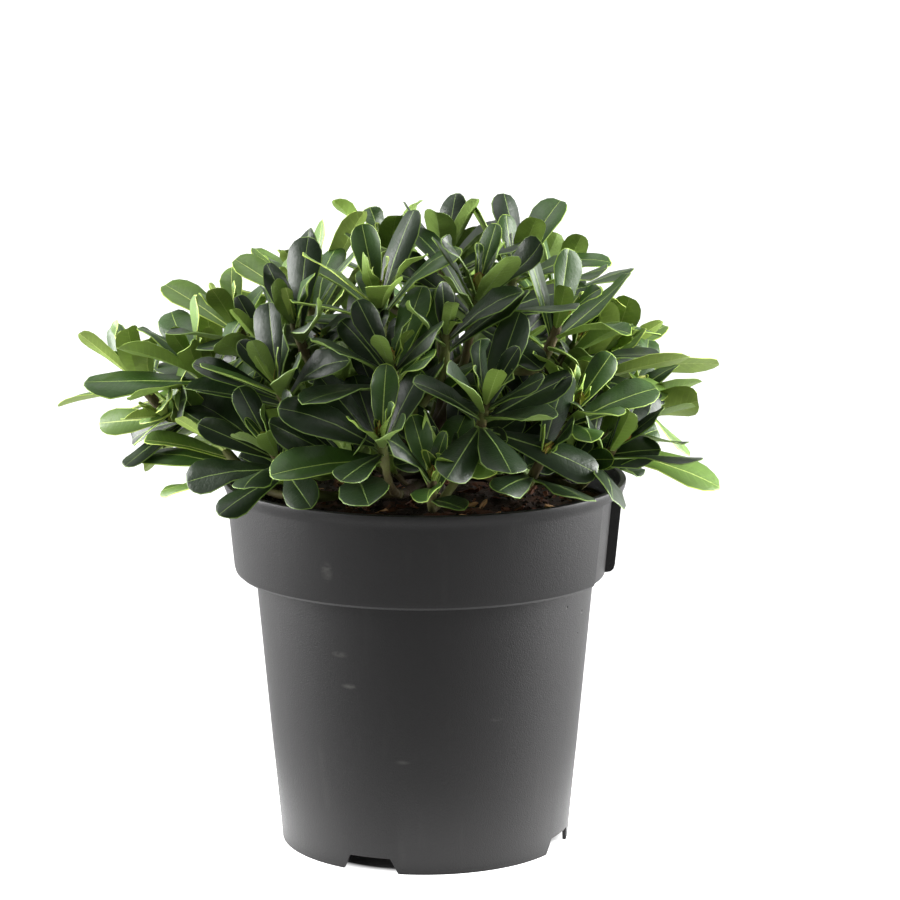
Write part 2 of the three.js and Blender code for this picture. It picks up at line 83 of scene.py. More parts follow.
class Wire:  # one output of a node tree; arithmetic on wires adds Math nodes
    def __init__(self, tree, socket=None):
        self.tree = tree
        self.socket = socket

    def node(self, kind, settings=None, values=None, output=0):
        made = self.tree.nodes.new(kind)
        for name, value in (settings or {}).items():
            setattr(made, name, value)
        for key, value in (values or {}).items():
            if isinstance(value, Wire):
                self.tree.links.new(value.socket, made.inputs[key])
            else:
                made.inputs[key].default_value = value
        return Wire(self.tree, made.outputs[output])

    def maths(self, operation, *values):
        return self.node("ShaderNodeMath", {"operation": operation}, dict(enumerate(values)))

    def to(self, operation, *others):  # the same, with the wire itself as the first value
        return self.maths(operation, self, *others)

    def vector(self, operation, *others):
        return self.node("ShaderNodeVectorMath", {"operation": operation}, dict(enumerate((self, *others))))

    def scaled(self, amount):
        return self.node("ShaderNodeVectorMath", {"operation": "SCALE"}, {0: self, "Scale": amount})

    def length(self):
        return self.node("ShaderNodeVectorMath", {"operation": "LENGTH"}, {0: self}, "Value")

    def part(self, number):  # 0, 1 or 2 for x, y or z
        return self.node("ShaderNodeSeparateXYZ", {}, {0: self}, number)

    def ramped(self, low, high):  # 0 at low, 1 at high
        return self.node("ShaderNodeMapRange", {"clamp": True}, {"Value": self, "From Min": low, "From Max": high})

    def mixed(self, one, other):  # a colour between two, with the wire as the share of the other
        return self.node("ShaderNodeMix", {"data_type": "RGBA"}, {"Factor": self, 6: one, 7: other}, 2)

    def bumped(self, distance):
        return self.node("ShaderNodeBump", {}, {"Height": self, "Distance": distance})

    def __add__(self, other):
        return self.to("ADD", other)

    def __sub__(self, other):
        return self.to("SUBTRACT", other)

    def __rsub__(self, other):
        return self.maths("SUBTRACT", other, self)

    def __mul__(self, other):
        return self.to("MULTIPLY", other)

    def __truediv__(self, other):
        return self.to("DIVIDE", other)

    def __pow__(self, other):
        return self.to("POWER", other)


# geometry trees

def geometryTree(name, values):  # a tree with a named input for each value, of the value's own kind
    tree = bpy.data.node_groups.new(name, "GeometryNodeTree")
    tree.interface.new_socket(name="Geometry", in_out="OUTPUT", socket_type="NodeSocketGeometry")
    tree.interface.new_socket(name="Geometry", in_out="INPUT", socket_type="NodeSocketGeometry")
    for label, value in values.items():
        kind = {int: "Int", float: "Float"}.get(type(value), type(value).__name__)
        tree.interface.new_socket(name=label, in_out="INPUT", socket_type="NodeSocket" + kind)
    entry = tree.nodes.new("NodeGroupInput")
    return {socket.name: Wire(tree, socket) for socket in entry.outputs if socket.name}


def noise(place, scale, detail, roughness=0.5):
    values = {"Vector": place, "Scale": scale, "Detail": detail, "Roughness": roughness}
    return place.node("ShaderNodeTexNoise", {}, values, "Fac")


def moved(geometry, values):
    return geometry.node("GeometryNodeSetPosition", {}, {"Geometry": geometry, **values})


def smoothed(geometry):
    return geometry.node("GeometryNodeSetShadeSmooth", {}, {"Geometry": geometry})


def realized(geometry):
    return geometry.node("GeometryNodeRealizeInstances", {}, {"Geometry": geometry})


def clothed(geometry, material, **chosen):
    values = {"Geometry": geometry, "Material": material, **chosen}
    return geometry.node("GeometryNodeSetMaterial", {}, values)


def closed(geometry):  # ends a tree with its finished geometry
    leaving = geometry.tree.nodes.new("NodeGroupOutput")
    geometry.tree.links.new(geometry.socket, leaving.inputs[0])
    return geometry.tree


def evaluatedMesh(source):
    bpy.context.view_layer.update()
    depsgraph = bpy.context.evaluated_depsgraph_get()
    return bpy.data.meshes.new_from_object(
        source.evaluated_get(depsgraph), preserve_all_data_layers=True, depsgraph=depsgraph)


def grown(name, source, tree, values):  # runs a tree on a source object and keeps the result as a plain mesh
    modifier = source.modifiers.new(tree.name, "NODES")
    modifier.node_group = tree
    for item in tree.interface.items_tree:
        if item.item_type == "SOCKET" and item.in_out == "INPUT" and item.name in values:
            modifier[item.identifier] = values[item.name]
    mesh = evaluatedMesh(source)
    source.modifiers.remove(modifier)
    mesh.name = name
    return placed(name, mesh)


def placed(name, mesh):
    piece = bpy.data.objects.new(name, mesh)
    bpy.context.scene.collection.objects.link(piece)
    return piece


def solid(name, points, faces):
    mesh = bpy.data.meshes.new(name)
    mesh.from_pydata(points, [], faces)
    return placed(name, mesh)


def discard(*objects):
    for item in objects:
        bpy.data.objects.remove(item)


def finishPiece(piece, slotName, *nodes):
    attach(piece, "root")
    if nodes:
        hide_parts(*nodes)
    triangles = sum(len(face.vertices) - 2 for face in piece.data.polygons)
    print(f"{piece.name}: {triangles} triangles")
    return piece


def pointsMesh(name, points, edges, attributes):  # points in metres, with one value or vector each per attribute
    mesh = bpy.data.meshes.new(name)
    mesh.from_pydata([tuple(point) for point in points], edges, [])
    for label, values in attributes.items():
        values = np.array(values, np.float32)
        vector = values.ndim == 2
        layer = mesh.attributes.new(label, "FLOAT_VECTOR" if vector else "FLOAT", "POINT")
        layer.data.foreach_set("vector" if vector else "value", values.ravel())
    return placed(name, mesh)


# materials

def principled(name, constants):
    material = bpy.data.materials.new(name)
    material.use_nodes = True
    shader = material.node_tree.nodes["Principled BSDF"]
    for label, value in constants.items():
        shader.inputs[label].default_value = value
    return material, Wire(material.node_tree), shader


def feed(material, shader, wires):
    for label, wire in wires.items():
        material.node_tree.links.new(wire.socket, shader.inputs[label])
    return material


def surface(material, shader, colour, roughness, normal):
    return feed(material, shader, {"Base Color": colour, "Roughness": roughness, "Normal": normal})


def placeOf(start):
    return start.node("ShaderNodeTexCoord", output="Object")


def noiseOn(start, scale, detail, stretch=(1, 1, 1), roughness=0.5):
    return noise(placeOf(start).vector("MULTIPLY", stretch), scale, detail, roughness)


def tone(colour):  # an sRGB colour of 0 to 255 as the linear colour that a shader takes
    shares = [channel / 255 for channel in colour]
    linear = [share / 12.92 if share <= 0.04045 else ((share + 0.055) / 1.055) ** 2.4 for share in shares]
    return (*linear, 1)


# camera and light

view = {
    "position": (0, -1.5194, 0.4595),
    "pitch": 10.54,  # degrees down
    "yaw": 0.425,  # degrees to the right
    "lens": 138.8,
}


def makeCamera():
    camera = placed("camera", bpy.data.cameras.new("camera"))
    camera.data.lens = view["lens"]
    camera.data.sensor_width = 36
    camera.location = view["position"]
    camera.rotation_euler = (math.radians(90 - view["pitch"]), 0, math.radians(-view["yaw"]))
    bpy.context.scene.camera = camera


studio = {
    "floorSize": 40.0,
    "floorColour": (0.37, 0.37, 0.37, 1),
    "glowStrength": 5.0,  # of the floor's own light
    "glowClose": 0.6,  # the share of it that is added close by the pot
    "glowNear": 0.05,  # its share near the pot, and far off, where the lamps fade
    "glowFar": 0.18,
    "closeBy": (0.17, 0.09),  # distances from the pot's axis
    "nearToFar": (0.4, 2.2),
    "shaded": (0.056, 0.072),  # the floor's own light fades in here, because the pot keeps it off the floor below
    "worldDark": 0.03,  # the room behind the camera
    "worldBright": 0.97,  # the pale surround at the sides and the back
    "worldTurn": (-0.93, -0.3),  # where the one becomes the other, as the y of a direction
    "lampAim": (0, 0, 0.2),
    "softboxes": [  # name, place, size, power
        ("overhead", (-0.2, 0.1, 1.7), 1.0, 12),
        ("leftPanel", (-1.45, 0.25, 0.45), 1.3, 92),
        ("rightPanel", (1.4, 0.2, 0.48), 1.3, 108),
    ],
}


def span(value, fromLimits, low, high):
    return {"Value": value, "From Min": fromLimits[0], "From Max": fromLimits[1], "To Min": low, "To Max": high}


def makeWorld():
    world = bpy.data.worlds.new("paleSurround")
    world.use_nodes = True
    forward = Wire(world.node_tree).node("ShaderNodeTexCoord", output="Generated").part(1)
    limits = span(forward, studio["worldTurn"], studio["worldDark"], studio["worldBright"])
    strength = forward.node("ShaderNodeMapRange", {"interpolation_type": "SMOOTHSTEP"}, limits)
    background = world.node_tree.nodes["Background"]
    background.inputs["Color"].default_value = (1, 1, 1, 1)
    world.node_tree.links.new(strength.socket, background.inputs["Strength"])
    bpy.context.scene.world = world


def makeLamps():
    for name, place, size, power in studio["softboxes"]:
        light = bpy.data.lights.new(name, "AREA")
        light.shape = "DISK"
        light.size = size
        light.energy = power
        lamp = placed(name, light)
        lamp.location = place
        aim = Vector(studio["lampAim"]) - Vector(place)
        lamp.rotation_euler = aim.to_track_quat("-Z", "Y").to_euler()


def paleFloor():
    constants = {"Base Color": studio["floorColour"], "Roughness": 0.9, "Specular IOR Level": 0.2,
                 "Emission Strength": studio["glowStrength"]}
    material, start, shader = principled("paleFloor", constants)
    reach = placeOf(start).length()
    close = reach.ramped(*studio["closeBy"]) * studio["glowClose"]
    beneath = reach.ramped(*studio["shaded"])
    limits = span(reach, studio["nearToFar"], studio["glowNear"], studio["glowFar"])
    glow = (start.node("ShaderNodeMapRange", {"clamp": True}, limits) + close) * beneath
    return feed(material, shader, {"Emission Color": glow.mixed((0, 0, 0, 1), (1, 1, 1, 1))})


def makeStudio():
    bpy.context.scene.view_settings.view_transform = "Standard"
    makeWorld()
    makeLamps()
    half = studio["floorSize"] / 2
    corners = [(-half, -half, 0), (half, -half, 0), (half, half, 0), (-half, half, 0)]
    mesh = bpy.data.meshes.new("studioFloor")
    mesh.from_pydata(corners, [], [(0, 1, 2, 3)])
    mesh.materials.append(paleFloor())
    placed("studioFloor", mesh)


makeCamera()
makeStudio()
print("camera and studio set")


# pot

pot = {
    "height": 165,
    "baseRadius": 64.6,
    "bodyTopRadius": 75.7,
    "collarBottom": 122.5,
    "collarCorner": 3.6,
    "collarBottomRadius": 84.8,
    "collarTopRadius": 88.4,
    "lipHeight": 5,
    "lipRadius": 89.8,
    "lipFlare": 2.8,  # height over which the lip swells out of the collar
    "wall": 1.7,
    "floorBottom": 7.5,
    "floorThickness": 2,
    "middleFootRadius": 17,
    "footRecess": 0.4,  # how far the inside of the foot leans out at its top
    "segments": 168,
    "roundings": {4: 0.4, 5: 0.6, 9: 3.6, 10: 1.6, 11: 1.6, 12: 0.6, 13: 0.6, 14: 3.6, 16: 3},  # by profile corner
    "roundSteps": 3,
    "sharpFrom": 28,  # degrees between two faces
}
notch = {
    "count": 4,
    "bearing": 248,
    "height": 7,
    "topWidth": 19,
    "bottomWidth": 27,
    "length": 22,
    "beyond": 6,  # how far the cutter reaches out of the wall
    "holeRadius": 5.5,
    "holeReach": 50,
    "holeDepth": 1.5,  # how far its cutter reaches, in thicknesses of the floor
    "holeSides": 24,
}
pocket = {"from": 331, "to": 355, "depth": 4.4, "web": 1.3, "slotWidth": 2, "slotMargin": 3, "slotInset": 0.3,
          "knee": 6, "kneeSunk": 0.6, "sunk": 0.4, "beyond": 100, "steps": 12}


def lerp(low, high, share):
    return low + (high - low) * share


def collarRadius(height):
    lipBottom = pot["height"] - pot["lipHeight"]
    share = (height - pot["collarBottom"]) / (lipBottom - pot["collarBottom"])
    return lerp(pot["collarBottomRadius"], pot["collarTopRadius"], share)


def bodyRadius(height):
    return lerp(pot["baseRadius"], pot["bodyTopRadius"], height / pot["collarBottom"])


def onCircle(radius, angle, height):
    return radius * mm * math.cos(angle), radius * mm * math.sin(angle), height * mm


def turnedMesh(name, profile, segments):  # a closed solid of revolution; profile points at radius 0 become poles
    rows, points, faces = [], [], []
    for radius, height in profile:
        if radius == 0:
            rows.append([len(points)] * segments)
            points.append((0, 0, height * mm))
        else:
            rows.append(list(range(len(points), len(points) + segments)))
            points += [onCircle(radius, 2 * math.pi * k / segments, height) for k in range(segments)]
    for lower, upper in zip(rows, rows[1:]):
        for k in range(segments):
            after = (k + 1) % segments
            face = list(dict.fromkeys([lower[k], lower[after], upper[after], upper[k]]))
            if len(face) > 2:
                faces.append(face)
    return outward(solid(name, points, faces))


def ringFaces(rings, count):  # quads between equal rings of points
    faces = []
    for i in range(rings):
        low, high = i * count, (i + 1) * count
        for k in range(count):
            after = (k + 1) % count
            faces.append((low + k, low + after, high + after, high + k))
    return faces


def rounded(corner, before, after, radius):  # replaces a corner of a profile by a small arc
    corner, before, after = Vector(corner), Vector(before), Vector(after)
    first = corner + (before - corner).normalized() * radius
    last = corner + (after - corner).normalized() * radius
    points = []
    for i in range(pot["roundSteps"] + 1):
        share = i / pot["roundSteps"]
        points.append(tuple(first.lerp(corner, share).lerp(corner.lerp(last, share), share)))
    return points


def roundedProfile(profile, radii):
    points = []
    for i, point in enumerate(profile):
        points += rounded(point, profile[i - 1], profile[i + 1], radii[i]) if i in radii else [point]
    return points


def sectorMesh(name, profile, first, last):  # a profile of radii and heights swept between two bearings
    points = []
    count, steps = len(profile), pocket["steps"]
    for i in range(steps + 1):
        angle = math.radians(lerp(first, last, i / steps))
        points += [onCircle(radius, angle, height) for radius, height in profile]
    ends = [tuple(reversed(range(count))), tuple(range(steps * count, (steps + 1) * count))]
    return outward(solid(name, points, ringFaces(steps, count) + ends))


def band(inner, outer, bottom, top):  # a profile with four corners, from its radii at the bottom and at the top
    return [(inner[0], bottom), (outer[0], bottom), (outer[1], top), (inner[1], top)]


def outward(piece):
    shape = bmesh.new()
    shape.from_mesh(piece.data)
    bmesh.ops.remove_doubles(shape, verts=shape.verts, dist=1e-6)
    bmesh.ops.recalc_face_normals(shape, faces=shape.faces)
    shape.to_mesh(piece.data)
    shape.free()
    return piece


def notchMesh(bearing):
    outer = pot["baseRadius"] + notch["beyond"]
    points = []
    for x in (outer - notch["length"], outer):
        for y, z in ((-1, -1), (1, -1), (1, 1), (-1, 1)):
            half = (notch["bottomWidth"] if z < 0 else notch["topWidth"]) / 2
            points.append((x * mm, y * half * mm, (-1 if z < 0 else notch["height"]) * mm))
    faces = [(0, 1, 2, 3), (7, 6, 5, 4), (0, 4, 5, 1), (1, 5, 6, 2), (2, 6, 7, 3), (3, 7, 4, 0)]
    cut = solid("notchCut", points, faces)
    cut.data.transform(Matrix.Rotation(math.radians(bearing), 4, "Z"))
    return outward(cut)


def holeMesh(bearing):
    middle = pot["floorBottom"] + pot["floorThickness"] / 2
    half = pot["floorThickness"] * notch["holeDepth"]
    radius = notch["holeRadius"]
    profile = [(0, middle - half), (radius, middle - half), (radius, middle + half), (0, middle + half)]
    cut = turnedMesh("holeCut", profile, notch["holeSides"])
    cut.data.transform(Matrix.Translation(onCircle(notch["holeReach"], math.radians(bearing), 0)))
    return cut


def combined(piece, others, operation):
    for other in others:
        modifier = piece.modifiers.new("combine", "BOOLEAN")
        modifier.operation = operation
        modifier.solver = "EXACT"
        modifier.object = other
    mesh = evaluatedMesh(piece)
    name = piece.name
    discard(piece, *others)
    mesh.name = name
    return placed(name, mesh)


def makePot():
    corner, wall = pot["collarCorner"], pot["wall"]
    lipBottom = pot["height"] - pot["lipHeight"]
    floor = pot["floorBottom"] + pot["floorThickness"]
    shelf = pot["collarBottom"] + wall
    footInside = pot["baseRadius"] - wall
    profile = [
        (0, 0),
        (pot["middleFootRadius"], 0),
        (pot["middleFootRadius"], pot["floorBottom"]),
        (footInside + pot["footRecess"], pot["floorBottom"]),
        (footInside, 0),
        (pot["baseRadius"], 0),
        (bodyRadius(40), 40),
        (bodyRadius(80), 80),
        (pot["bodyTopRadius"], pot["collarBottom"]),
        (pot["collarBottomRadius"], pot["collarBottom"]),
        (pot["collarTopRadius"], lipBottom),
        (pot["lipRadius"], lipBottom + pot["lipFlare"]),
        (pot["lipRadius"], pot["height"]),
        (collarRadius(pot["height"]) - wall, pot["height"]),
        (collarRadius(shelf + corner) - wall, shelf),
        (bodyRadius(shelf) - wall, shelf),
        (bodyRadius(floor) - wall, floor),
        (0, floor),
    ]
    shell = turnedMesh("pot", roundedProfile(profile, pot["roundings"]), pot["segments"])
    back = (pot["collarBottomRadius"] - pocket["depth"], pot["collarTopRadius"] - pocket["depth"])
    webAngle = math.degrees(pocket["web"] / pot["collarBottomRadius"])
    first, last = pocket["from"], pocket["to"]
    slope = (back[1] - back[0]) / (lipBottom - pot["collarBottom"])
    bulgeBottom, bulgeTop, knee = pot["collarBottom"] + 0.01, lipBottom + wall, pot["collarBottom"] + pocket["knee"]
    wallProfile = [  # the pocket's wall stands inside the collar, and closes against it at both ends
        (back[0] - wall, bulgeBottom),
        (pot["collarBottomRadius"] - corner - pocket["sunk"], bulgeBottom),
        (collarRadius(knee) - pocket["kneeSunk"], knee),
        (pot["collarTopRadius"] - pocket["sunk"], bulgeTop),
        (back[0] - wall + slope * (bulgeTop - pot["collarBottom"]), bulgeTop),
    ]
    whole = combined(shell, [sectorMesh("pocketWall", wallProfile, first - webAngle, last + webAngle)], "UNION")
    whole.name = "potBody"
    slotOuter = pot["collarTopRadius"] - wall - pocket["slotInset"]
    slotInner = slotOuter - pocket["slotWidth"]
    beyond = (pocket["beyond"], pocket["beyond"])
    cutters = [
        sectorMesh("pocketCut", band(back, beyond, pot["collarBottom"] - wall, lipBottom), first, last),
        sectorMesh("slotCut", band((slotInner, slotInner), (slotOuter, slotOuter), lipBottom - 1, pot["height"] + 1),
                   first + pocket["slotMargin"], last - pocket["slotMargin"]),
    ]
    for i in range(notch["count"]):
        bearing = notch["bearing"] + i * 360 / notch["count"]
        cutters += [notchMesh(bearing), holeMesh(bearing)]
    piece = combined(whole, cutters, "DIFFERENCE")
    piece.data.polygons.foreach_set("use_smooth", [True] * len(piece.data.polygons))
    piece.data.set_sharp_from_angle(angle=math.radians(pot["sharpFrom"]))
    piece.data.materials.clear()
    piece.data.materials.append(potPlastic())
    return piece


scuffs = [  # bearing, height, half length, half height, how pale: small rubs on the wall
    (240, 99, 5.0, 1.6, 0.12),
    (243, 85, 4.4, 1.4, 0.16),
    (241, 138, 3.4, 5.0, 0.12),
    (262, 52, 4.0, 1.2, 0.1),
    (296, 70, 3.6, 1.2, 0.09),
    (120, 88, 5.5, 1.6, 0.14),
    (35, 60, 4.2, 1.4, 0.12),
]
pits = [(326, 114.5, 0.8), (338, 109.5, 0.95), (336, 100, 0.6)]  # bearing, height, radius


plastic = {
    "dark": (18, 18, 19),
    "pale": (27, 26, 26),
    # the pale colour of the scuffs' real wear, and of the painted sheen in the faint vertical streaks
    "wearAndSheen": (122, 122, 116),
    "pit": (16, 14, 13),
    "roughness": 0.38,
    "relief": 0.00012,  # metres
    "flatness": 60.0,  # how strongly a mark fades out across the wall
}


def spotOn(place, bearing, height, halfLength, halfHeight):  # 1 in the middle of a small mark, 0 outside it
    angle = math.radians(bearing)
    radius = bodyRadius(height) if height < pot["collarBottom"] else collarRadius(height)
    centred = place.vector("SUBTRACT", onCircle(radius, angle, height))
    turned = place.node("ShaderNodeVectorRotate", {"rotation_type": "Z_AXIS"}, {"Vector": centred, "Angle": -angle})
    sized = turned.vector("MULTIPLY", (plastic["flatness"], 1 / (halfLength * mm), 1 / (halfHeight * mm)))
    return sized.length().ramped(1.0, 0.2)


def potPlastic():
    material, start, shader = principled("potPlastic", {"Specular IOR Level": 0.2, "IOR": 1.47})
    place = placeOf(start)
    clouds = noiseOn(start, 11, 3)
    speckle = noiseOn(start, 1100, 2)
    grain = noiseOn(start, 2200, 1)
    # faint pale vertical streaks: a painted sheen mixed into the colour; the scuffs added below are real wear
    sheenStreaks = noiseOn(start, 160, 2, (1, 1, 0.1)).ramped(0.62, 0.9)
    rubbed = noiseOn(start, 700, 2, (0.3, 0.3, 1)).ramped(0.35, 0.6)
    base = (clouds * 0.6 + speckle * 0.4).mixed(tone(plastic["dark"]), tone(plastic["pale"]))
    wearAndSheen = sheenStreaks * 0.03
    for *spot, strength in scuffs:
        wearAndSheen = wearAndSheen + spotOn(place, *spot) * rubbed * strength
    holes = wearAndSheen * 0.0
    for bearing, height, radius in pits:
        holes = holes + spotOn(place, bearing, height, radius, radius)
    colour = holes.mixed(wearAndSheen.mixed(base, tone(plastic["wearAndSheen"])), tone(plastic["pit"]))
    roughness = clouds * 0.1 + speckle * 0.1 + wearAndSheen * 0.15 + plastic["roughness"]
    relief = grain * 0.6 + speckle * 0.5 + clouds * 3 - holes * 4
    return surface(material, shader, colour, roughness, relief.bumped(plastic["relief"]))


finishPiece(makePot(), "pot_plastic", "pot")
print("pot made")


# growing medium

medium = {
    "edgeHeight": 152,
    "shoulderShare": 0.55,
    "shoulderRise": 3.5,
    "crownHeight": 157,
    "flatRadius": 15,
    "looseFrom": 151.5,  # the height from which its surface is loose
    "inset": 0.3,  # between the medium and the pot
    "relief": 6.4,
    "grain": 90.0,
    "middleGrain": 0.62,  # the level of the noise that leaves the surface where it is
    "rings": 46,
    "segments": 150,
}
crumbs = {  # name: how many on each square metre, length, slimness, seed, dark and pale colour
    "peatCrumbs": (52000.0, 2.6, 0.75, 3, (31, 22, 17), (52, 36, 26)),
    "barkChips": (9000.0, 7.5, 0.4, 11, (74, 44, 27), (98, 60, 37)),
    "paleChips": (1100.0, 9.0, 0.28, 23, (150, 112, 74), (178, 140, 98)),
}
chip = {"tilt": 0.7, "sizes": (0.5, 1.35), "thickness": 0.7, "spreadTo": 82, "spreadFrom": 151.4}


def mediumHeight(radius, edgeRadius):
    edge, shoulder = medium["edgeHeight"], edgeRadius * medium["shoulderShare"]
    if radius > shoulder:
        return lerp(edge + medium["shoulderRise"], edge, (radius - shoulder) / (edgeRadius - shoulder))
    if radius > medium["flatRadius"]:
        share = (shoulder - radius) / (shoulder - medium["flatRadius"])
        return lerp(edge + medium["shoulderRise"], medium["crownHeight"], share)
    return medium["crownHeight"]


def looseSurface(values):
    inputs = geometryTree("looseSurface", values)
    geometry = inputs["Geometry"]
    place = geometry.node("GeometryNodeInputPosition")
    coarse = noise(place, medium["grain"], 4.0, 0.62)
    top = {0: place.part(2), 1: inputs["Lowest"]}
    above = geometry.node("FunctionNodeCompare", {"operation": "GREATER_THAN"}, top)
    rise = (coarse - medium["middleGrain"]) * inputs["Relief"]
    offset = geometry.node("ShaderNodeCombineXYZ", {}, {2: rise})
    return closed(clothed(realized(smoothed(moved(geometry, {"Selection": above, "Offset": offset}))), peat()))


def makeMedium():
    inset = pot["wall"] + medium["inset"]
    shelf = pot["collarBottom"] + inset
    floor = pot["floorBottom"] + pot["floorThickness"] + medium["inset"]
    knee = shelf + pot["collarCorner"]
    edgeRadius = collarRadius(medium["edgeHeight"]) - inset
    profile = [
        (0, floor),
        (bodyRadius(floor) - inset, floor),
        (bodyRadius(shelf) - inset, shelf),
        (collarRadius(shelf) - pot["collarCorner"] - inset / 2, shelf),
        (collarRadius(knee) - inset, knee),
    ]
    for i in range(medium["rings"] + 1):
        radius = edgeRadius * (1 - i / medium["rings"])
        profile.append((radius, mediumHeight(radius, edgeRadius)))
    mound = turnedMesh("growingMedium", profile, medium["segments"])
    depth = pocket["depth"] + inset
    back = (pot["collarBottomRadius"] - depth, pot["collarTopRadius"] - depth)
    beyond = (pocket["beyond"], pocket["beyond"])
    webAngle = math.degrees((pocket["web"] + medium["inset"]) / pot["collarBottomRadius"])
    block = sectorMesh("pocketBlock", band(back, beyond, pot["collarBottom"] - 1, pot["height"] + 3),
                       pocket["from"] - webAngle, pocket["to"] + webAngle)
    mound = combined(mound, [block], "DIFFERENCE")
    values = {"Relief": medium["relief"] * mm, "Lowest": medium["looseFrom"] * mm}
    piece = grown("growingMediumMound", mound, looseSurface(values), values)
    discard(mound)
    return piece


def peat():
    material, start, shader = principled("peat", {"Specular IOR Level": 0.25})
    fibres = noiseOn(start, 420, 4, (1, 1, 2), 0.7)
    patches = noiseOn(start, 45, 2).ramped(0.5, 0.66)
    dark = fibres.mixed(tone((20, 14, 11)), tone((54, 37, 27)))
    colour = (patches * 0.7).mixed(dark, tone((88, 52, 34)))
    return surface(material, shader, colour, fibres * 0.2 + 0.75, fibres.bumped(0.0012))


def chipMaterial(name, dark, pale):
    material, start, shader = principled(name, {"Specular IOR Level": 0.3})
    grain = noiseOn(start, 300, 3, (1, 1, 1), 0.6)
    return surface(material, shader, grain.mixed(tone(dark), tone(pale)), grain * 0.2 + 0.7, grain.bumped(0.0005))


def chipPattern():  # an uneven flake, one unit long
    points = [(-0.5, -0.3, -0.2), (0.36, -0.5, -0.25), (0.5, 0.32, -0.2), (-0.3, 0.5, -0.15),
              (-0.4, -0.35, 0.2), (0.42, -0.3, 0.3), (0.34, 0.4, 0.16), (-0.46, 0.26, 0.26)]
    faces = [(3, 2, 1, 0), (4, 5, 6, 7), (0, 1, 5, 4), (1, 2, 6, 5), (2, 3, 7, 6), (3, 0, 4, 7)]
    return solid("chipPattern", points, faces)


def scatterTree(material, values):
    inputs = geometryTree("scatteredChips", values)
    geometry, seed = inputs["Geometry"], inputs["Seed"]
    place = geometry.node("GeometryNodeInputPosition")
    reach = place.vector("MULTIPLY", (1.0, 1.0, 0.0)).length()
    inside = geometry.node("FunctionNodeCompare", {"operation": "LESS_THAN"}, {0: reach, 1: inputs["Widest"]})
    top = {0: place.part(2), 1: inputs["Lowest"]}
    high = geometry.node("FunctionNodeCompare", {"operation": "GREATER_THAN"}, top)
    above = geometry.node("FunctionNodeBooleanMath", {"operation": "AND"}, {0: high, 1: inside})
    chosen = {"Mesh": geometry, "Selection": above, "Density": inputs["Density"], "Seed": seed}
    spots = geometry.node("GeometryNodeDistributePointsOnFaces", {"distribute_method": "RANDOM"}, chosen)
    tilt, (smallest, largest) = chip["tilt"], chip["sizes"]
    turns = {0: (-tilt, -tilt, 0.0), 1: (tilt, tilt, 6.28), "Seed": seed}
    turn = geometry.node("FunctionNodeRandomValue", {"data_type": "FLOAT_VECTOR"}, turns)
    lengths = {2: smallest, 3: largest, "Seed": seed + 7}
    length = geometry.node("FunctionNodeRandomValue", {"data_type": "FLOAT"}, lengths, 1) * inputs["Length"]
    width = length * inputs["Slimness"]
    scale = geometry.node("ShaderNodeCombineXYZ", {}, {0: length, 1: width, 2: width * chip["thickness"]})
    pattern = geometry.node("GeometryNodeObjectInfo", {}, {"Object": inputs["Pattern"]}, "Geometry")
    flakes = {"Points": spots, "Instance": pattern, "Rotation": turn, "Scale": scale}
    return closed(clothed(realized(geometry.node("GeometryNodeInstanceOnPoints", {}, flakes)), material))


mound = makeMedium()
pattern = chipPattern()
for crumbName, (density, length, slimness, seed, dark, pale) in crumbs.items():
    values = {"Pattern": pattern, "Density": density, "Length": length * mm, "Slimness": slimness, "Seed": seed,
              "Lowest": chip["spreadFrom"] * mm, "Widest": (chip["spreadTo"] - length) * mm}
    tree = scatterTree(chipMaterial(crumbName, dark, pale), values)
    finishPiece(grown(crumbName, mound, tree, values), "growing_medium", "growing_medium")
discard(pattern)
finishPiece(mound, "growing_medium", "growing_medium")
print("growing medium made")


# the plant's rule, as in the source

